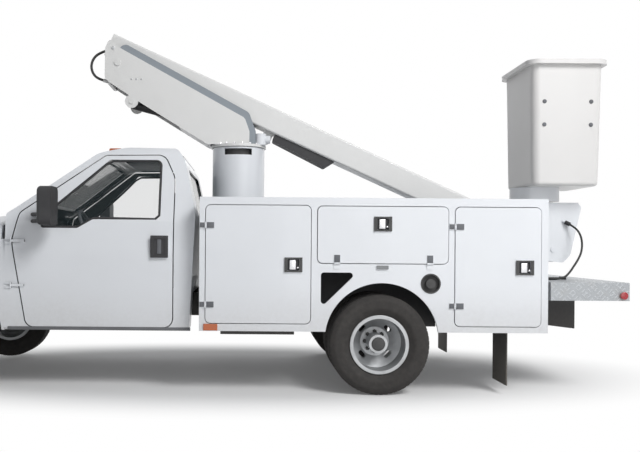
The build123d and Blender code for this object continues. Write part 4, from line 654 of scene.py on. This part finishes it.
class TRUCK_OT_latches(bpy.types.Operator):
    """Latches and hinge covers of the compartment doors, and mounts under the front compartments"""
    bl_idname = "truck.latches"
    bl_label = "Latches and hinges"

    def frame_ring(self, at, side):
        """A flat ring round a latch's square recess, wider at its sides, left active."""
        clear_selection()
        bpy.ops.mesh.primitive_plane_add(size=LATCH_OPENING, location=at, rotation=(-side * pi / 2, 0, 0))
        bpy.ops.object.transform_apply(location=False, rotation=True)
        bpy.ops.object.mode_set(mode="EDIT")
        bpy.ops.mesh.select_mode(type="EDGE")
        bpy.ops.mesh.select_all(action="SELECT")
        bpy.ops.mesh.delete(type="ONLY_FACE")
        bpy.ops.mesh.select_all(action="SELECT")
        bpy.ops.mesh.extrude_region_move(TRANSFORM_OT_translate={"value": (0, 0, 0)})
        bpy.ops.transform.resize(value=LATCH_FRAME_GROWTH, center_override=at)
        bpy.ops.object.mode_set(mode="OBJECT")
        thick = bpy.context.object.modifiers.new("thickness", "SOLIDIFY")
        thick.thickness, thick.offset = 0.005, 0
        bpy.ops.object.modifier_apply(modifier="thickness")
        bpy.ops.object.mode_set(mode="EDIT")
        bpy.ops.mesh.select_all(action="SELECT")
        bpy.ops.mesh.remove_doubles(threshold=0.0001)
        bpy.ops.mesh.normals_make_consistent(inside=False)
        bpy.ops.object.mode_set(mode="OBJECT")

    def latch(self, name, door, x, z, side, width):
        """Tray, frame, paddle and lock of one latch."""
        rounded_box((x, side * (BODY_SIDE_Y - 0.0035), z), (0.092, 0.006, 0.092), 0.002)
        settle(f"latch_tray_{name}", door, "black_plastic")
        # Painted reflection: the chrome frame ring is given dark steel so it shows the dark reflections of a
        # chrome frame
        self.frame_ring((x, side * (BODY_SIDE_Y + 0.0155), z), side)
        settle(f"latch_frame_{name}", door, "cast_iron")
        rounded_box((x - 0.006, side * (BODY_SIDE_Y + 0.010), z), (width, 0.012, 0.078), 0.005, 3)
        bpy.ops.object.mode_set(mode="EDIT")
        bpy.ops.mesh.select_all(action="SELECT")
        bpy.ops.mesh.bisect(plane_co=(x, 0, z + 0.012), plane_no=(0, 0, 1), use_fill=False)
        bpy.ops.object.mode_set(mode="OBJECT")
        settle(f"latch_paddle_{name}", door, "rod_chrome")
        rounded_box((x + 0.034, side * (BODY_SIDE_Y + 0.008), z - 0.022), (0.014, 0.018, 0.014), 0.004, 3)
        settle(f"latch_lock_{name}", door, "rod_chrome")

    def execute(self, context):
        width = context.scene.truck_sizes.paddle
        for side_name, side in SIDES:
            for row, behind, z in LATCH_ROWS:
                name = f"{row}_{side_name}"
                self.latch(name, f"box_door_{name}", REAR_AXLE_X + behind, z, side, width)
            body_side = frame["nodes"][f"body_side_{side_name}"]
            for number, (row, behind, z, size) in enumerate(HINGE_ROWS):
                name = f"{row}_{side_name}"
                x = REAR_AXLE_X + behind
                rounded_box((x, side * (BODY_SIDE_Y + 0.0128), z), size, 0.0012)
                settle(f"hinge_strap_{name}_{number}", f"box_door_{name}", "grey_trim")
                if row != "middle":
                    spot, _ = side_face(body_side, x - LEAF_AHEAD, z, side)
                    rounded_box((x - LEAF_AHEAD, spot.y + side * 0.001, z), (0.034, 0.004, 0.040), 0.0012)
                    settle(f"hinge_leaf_{name}_{number}", "root", "grey_trim")
            rounded_box((REAR_AXLE_X - 0.98, side * 0.98, 0.487), (0.60, 0.20, 0.040), 0.004)
            settle(f"box_mount_{side_name}", "root", "black_paint")
        return {"FINISHED"}


# Side window's outline as in the source, in mm: ahead of the cab's back and height
WINDOW_ROWS = (
    (-246, 1905), (-690, 1905), (-1230, 1420), (-1230, 1322), (-928, 1322), (-803, 1395), (-246, 1395),
)
BEAD_STEPS = 8
BEAD_INSET = 0.012
BEAD_RADIUS = 0.010

# Door handle: ahead of the cab's back and height
HANDLE_AHEAD = 0.289
HANDLE_Z = 1.174

# Studs on the bucket's near wall: beside its middle, and height
STUD_X = (-0.212, 0.21)
STUD_Z = (2.513, 2.304)

# Bolt heads on the turret's plates: behind the boom's pivot, above it and radius
PLATE_BOLTS = ((-0.041, 0.137, 0.016), (0.132, -0.153, 0.008), (0.178, -0.153, 0.010), (0.224, -0.153, 0.008))

# Ring of bolts on the turret's base: number, radius and middle above the pedestal
RING_BOLTS = 20
RING_RADIUS = 0.238
RING_ABOVE = 0.035


class TRUCK_OT_trim(bpy.types.Operator):
    """Rocker strips of painted shadow, window rubbers, handles, panels (those in the wheel bays are painted
    shade), lenses, studs and the turret's bolts
    """
    bl_idname = "truck.trim"
    bl_label = "Trim and bolts"

    def window_rubber(self, side_name, side):
        """A black rubber bead round the door's window, laid on the glass just inside its edge."""
        glass = frame["nodes"][f"door_glass_{side_name}"]
        middle = side_middle(glass.name)
        cab_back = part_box(glass.name)[1].x - WINDOW_ROWS[0][0] / 1000
        places = []
        for first, second in zip(WINDOW_ROWS, WINDOW_ROWS[1:] + WINDOW_ROWS[:1]):
            for step in range(BEAD_STEPS):
                share = (step + 0.5) / BEAD_STEPS
                at = Vector((first[0], 0, first[1])).lerp(Vector((second[0], 0, second[1])), share) / 1000
                at.x += cab_back
                at += (middle - at).normalized() * BEAD_INSET
                hit = side_hit(glass, at.x, at.z, side)
                if hit:
                    places.append(hit[0])
        bead, spline = curve_object(f"window_rubber_{side_name}", "POLY", places, BEAD_RADIUS, 3)
        spline.use_cyclic_u = True
        curve_to_mesh(bead)
        settle(f"window_rubber_{side_name}", f"cab_door_{side_name}", "black_plastic", 60)

    def door_handle(self, side_name, side, cab_back):
        """A shallow handle tray with a pull in it."""
        x = cab_back - HANDLE_AHEAD
        tray = rounded_box((x, side * 1.0355, HANDLE_Z), (0.146, 0.012, 0.182), 0.005, 3)
        bpy.ops.object.mode_set(mode="EDIT")
        bpy.ops.mesh.select_mode(type="FACE")
        bpy.ops.mesh.select_all(action="DESELECT")
        bpy.ops.object.mode_set(mode="OBJECT")
        for face in tray.data.polygons:
            face.select = face.normal.y * side > 0.9 and face.area > 0.01
        bpy.ops.object.mode_set(mode="EDIT")
        bpy.ops.mesh.inset(thickness=0.022)
        bpy.ops.mesh.extrude_region_move(TRANSFORM_OT_translate={"value": (0, -side * 0.007, 0)})
        settle(f"door_handle_{side_name}", f"cab_door_{side_name}", "black_plastic")
        rounded_box((x, side * 1.0375, HANDLE_Z), (0.034, 0.010, 0.120), 0.004, 3)
        settle(f"door_pull_{side_name}", f"cab_door_{side_name}", "grey_trim")

    def bucket_studs(self):
        low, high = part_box("bucket")
        studs = []
        for x in STUD_X:
            for z in STUD_Z:
                spot, normal = side_face(frame["nodes"]["bucket"], (low.x + high.x) / 2 + x, z, -1)
                studs.append(rounded_cylinder(20, 0.019, 0.014, spot, turned_to(normal), 0.004, 3))
        join_active(studs)
        settle("bucket_studs", "platform", "grey_trim")

    def plate_bolts(self):
        heads = []
        for x, z, radius in PLATE_BOLTS:
            for _, side in SIDES:
                hit = side_hit(frame["nodes"]["turret"], PIVOT.x + x, PIVOT.z + z, side)
                if hit:
                    heads.append(rounded_cylinder(20, radius, 0.012, hit[0], ACROSS, 0.002, 2))
        join_active(heads)
        settle("turret_plate_bolts", "turret", "wheel_steel")

    def ring_bolts(self):
        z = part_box("pedestal")[1].z + RING_ABOVE
        bolts = []
        for number in range(RING_BOLTS):
            turn = 2 * pi * (number + 0.5) / RING_BOLTS
            at = (SLEW.x + RING_RADIUS * cos(turn), SLEW.y + RING_RADIUS * sin(turn), z)
            bolts.append(rounded_cylinder(6, 0.012, 0.016, at, (0, 0, turn), 0.0015, 2))
        join_active(bolts)
        settle("turret_ring_bolts", "turret", "rod_chrome")

    def execute(self, context):
        low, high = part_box("cab_shell")
        deck_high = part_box("tail_deck")[1]
        for side_name, side in SIDES:
            # Painted shadow: a dark strip along the cab's lower edge stands in for the shadow line under the doors
            rounded_box(((low.x + high.x) / 2, side * 1.0135, low.z + 0.016), (1.50, 0.012, 0.028), 0.004, 3)
            settle(f"rocker_shadow_strip_{side_name}", "root", "grey_trim")
            self.window_rubber(side_name, side)
            self.door_handle(side_name, side, high.x)
            # Painted shade: a black panel inside each wheel bay stands in for the shade deep in the bay
            rounded_box((REAR_AXLE_X + 0.0215, side * 0.7, 0.75), (1.075, 0.008, 0.50), 0.003)
            settle(f"wheel_bay_shade_panel_{side_name}", "root", "black_plastic")
            rounded_box((high.x - 0.83, side * 0.9705, 1.08), (0.92, 0.008, 0.44), 0.003)
            settle(f"door_card_{side_name}", f"cab_door_{side_name}", "grey_trim")
            lens_at = (deck_high.x - 0.05, side * (deck_high.y + 0.016), 0.808)
            rounded_cylinder(32, 0.031, 0.012, lens_at, ACROSS, 0.004, 3)
            settle(f"tail_lens_{side_name}", "root", "amber", finish="red")
        rounded_box((high.x - 0.44, 0, 1.957), (0.62, 1.30, 0.010), 0.004)
        settle("headliner", "root", "grey_trim")
        self.bucket_studs()
        self.plate_bolts()
        self.ring_bolts()
        return {"FINISHED"}


# Rays that see the white studio in place of its light
SEEN_RAYS = ("Is Camera Ray", "Is Glossy Ray", "Is Transmission Ray")

# Area lights: name, place, watts and size
LIGHTS = (
    ("key", (5.5, -8.0, 8.5), 900, 4.0),
    ("fill", (3.5, -9.0, 3.0), 130, 6.0),
    ("back", (3.0, 8.0, 7.0), 230, 8.0),
)
LIGHTS_AIM = Vector((0, 0, 1.2))

# Camera: the photo's width in pixels, its scale at the body's side, and the distance from that side
PHOTO_WIDTH = 640
METRES_PER_PIXEL = 0.00797
CAMERA_AWAY = 6.0
CAMERA_SENSOR = 36.0


class TRUCK_OT_stage(bpy.types.Operator):
    """Floor, lights and the camera at the photograph's angle"""
    bl_idname = "truck.stage"
    bl_label = "Stage"

    def lay_floor(self):
        """A floor that shows shadows near the truck and fades into the white studio round it."""
        clear_selection()
        bpy.ops.mesh.primitive_plane_add(size=60, location=(0, 0, -0.006))
        floor = bpy.context.object
        floor.name = "floor"
        look = Finish("studio_floor")
        grain = look.noise(30.0, 4.0)
        look.set(Base_Color=look.mix(grain * 0.3, (0.84, 0.84, 0.84), (0.80, 0.80, 0.80)), Roughness=0.9)
        glow = look.add("ShaderNodeEmission", {}, {"Color": (1, 1, 1, 1), "Strength": 1.0}).out(0)
        rays = look.add("ShaderNodeLightPath", {}, {})
        spread = look.vector("LENGTH", look.stretched((0.24, 0.5, 0))).out("Value")
        away = look.band(spread, 0.58, 1.05) * 0.92 + 0.08
        direct, glossy, through = (rays.out(key) for key in SEEN_RAYS)
        share = (direct + glossy + through).clamp() * away
        lit = Value(look, look.principled.outputs[0])
        blend = look.add("ShaderNodeMixShader", {}, {0: share, 1: lit, 2: glow})
        look.feed(look.tree.nodes["Material Output"].inputs["Surface"], blend.out(0))
        floor.data.materials.append(look.material)

    def light_world(self, scene):
        """A white backdrop to look at, and a dim sky that lights the truck."""
        world = bpy.data.worlds.new("studio")
        scene.world = world
        world.use_nodes = True
        nodes, links = world.node_tree.nodes, world.node_tree.links
        sky = nodes["Background"]
        sky.inputs["Color"].default_value = (0.86, 0.89, 0.94, 1)
        sky.inputs["Strength"].default_value = 0.18
        backdrop = nodes.new("ShaderNodeBackground")
        backdrop.inputs["Color"].default_value = (1, 1, 1, 1)
        rays = nodes.new("ShaderNodeLightPath")
        total = rays.outputs[SEEN_RAYS[0]]
        for key in SEEN_RAYS[1:]:
            either = nodes.new("ShaderNodeMath")
            either.operation = "MAXIMUM"
            links.new(total, either.inputs[0])
            links.new(rays.outputs[key], either.inputs[1])
            total = either.outputs[0]
        choice = nodes.new("ShaderNodeMixShader")
        for socket, output in enumerate((total, sky.outputs[0], backdrop.outputs[0])):
            links.new(output, choice.inputs[socket])
        links.new(choice.outputs[0], nodes["World Output"].inputs["Surface"])

    def hang_lights(self, scene):
        for name, place, power, size in LIGHTS:
            data = bpy.data.lights.new(name, "AREA")
            data.energy, data.size = power, size
            lamp = bpy.data.objects.new(name, data)
            lamp.location = place
            lamp.rotation_euler = (LIGHTS_AIM - Vector(place)).to_track_quat("-Z", "Y").to_euler()
            scene.collection.objects.link(lamp)

    def set_camera(self, scene):
        data = bpy.data.cameras.new("photo_camera")
        data.sensor_width = CAMERA_SENSOR
        data.lens = CAMERA_SENSOR * CAMERA_AWAY / (PHOTO_WIDTH * METRES_PER_PIXEL)
        data.shift_x, data.shift_y = 70 / PHOTO_WIDTH, 17 / PHOTO_WIDTH
        camera = bpy.data.objects.new("photo_camera", data)
        camera.location = (0.129, -BODY_SIDE_Y - CAMERA_AWAY, 1.209)
        camera.rotation_euler = (pi / 2, -radians(0.43), 0)
        scene.collection.objects.link(camera)
        scene.camera = camera

    def execute(self, context):
        self.lay_floor()
        self.light_world(context.scene)
        self.hang_lights(context.scene)
        self.set_camera(context.scene)
        context.scene.view_settings.view_transform = "Standard"
        return {"FINISHED"}


class TRUCK_PT_panel(bpy.types.Panel):
    """Truck tools"""
    bl_idname = "TRUCK_PT_panel"
    bl_label = "Cherry picker truck"
    bl_space_type = "VIEW_3D"
    bl_region_type = "UI"
    bl_category = "Truck"

    def draw(self, context):
        for group in (context.scene.truck_paint, context.scene.truck_sizes):
            for key in group.__annotations__:
                self.layout.prop(group, key)
        for operator in OPERATORS:
            self.layout.operator(operator.bl_idname)


OPERATORS = (TRUCK_OT_finishes, TRUCK_OT_cords, TRUCK_OT_tread, TRUCK_OT_wheel_nuts, TRUCK_OT_latches,
             TRUCK_OT_trim, TRUCK_OT_stage)
CLASSES = (TruckPaint, TruckSizes, *OPERATORS, TRUCK_PT_panel)


def register():
    for item in CLASSES:
        bpy.utils.register_class(item)
    bpy.types.Scene.truck_paint = PointerProperty(type=TruckPaint)
    bpy.types.Scene.truck_sizes = PointerProperty(type=TruckSizes)


def unregister():
    del bpy.types.Scene.truck_paint
    del bpy.types.Scene.truck_sizes
    for item in reversed(CLASSES):
        bpy.utils.unregister_class(item)


def main():
    register()
    bpy.ops.truck.finishes()
    bpy.ops.truck.cords()
    bpy.ops.truck.tread()
    bpy.ops.truck.wheel_nuts()
    bpy.ops.truck.latches()
    bpy.ops.truck.trim()
    bpy.ops.truck.stage()


if __name__ == "__main__":
    main()
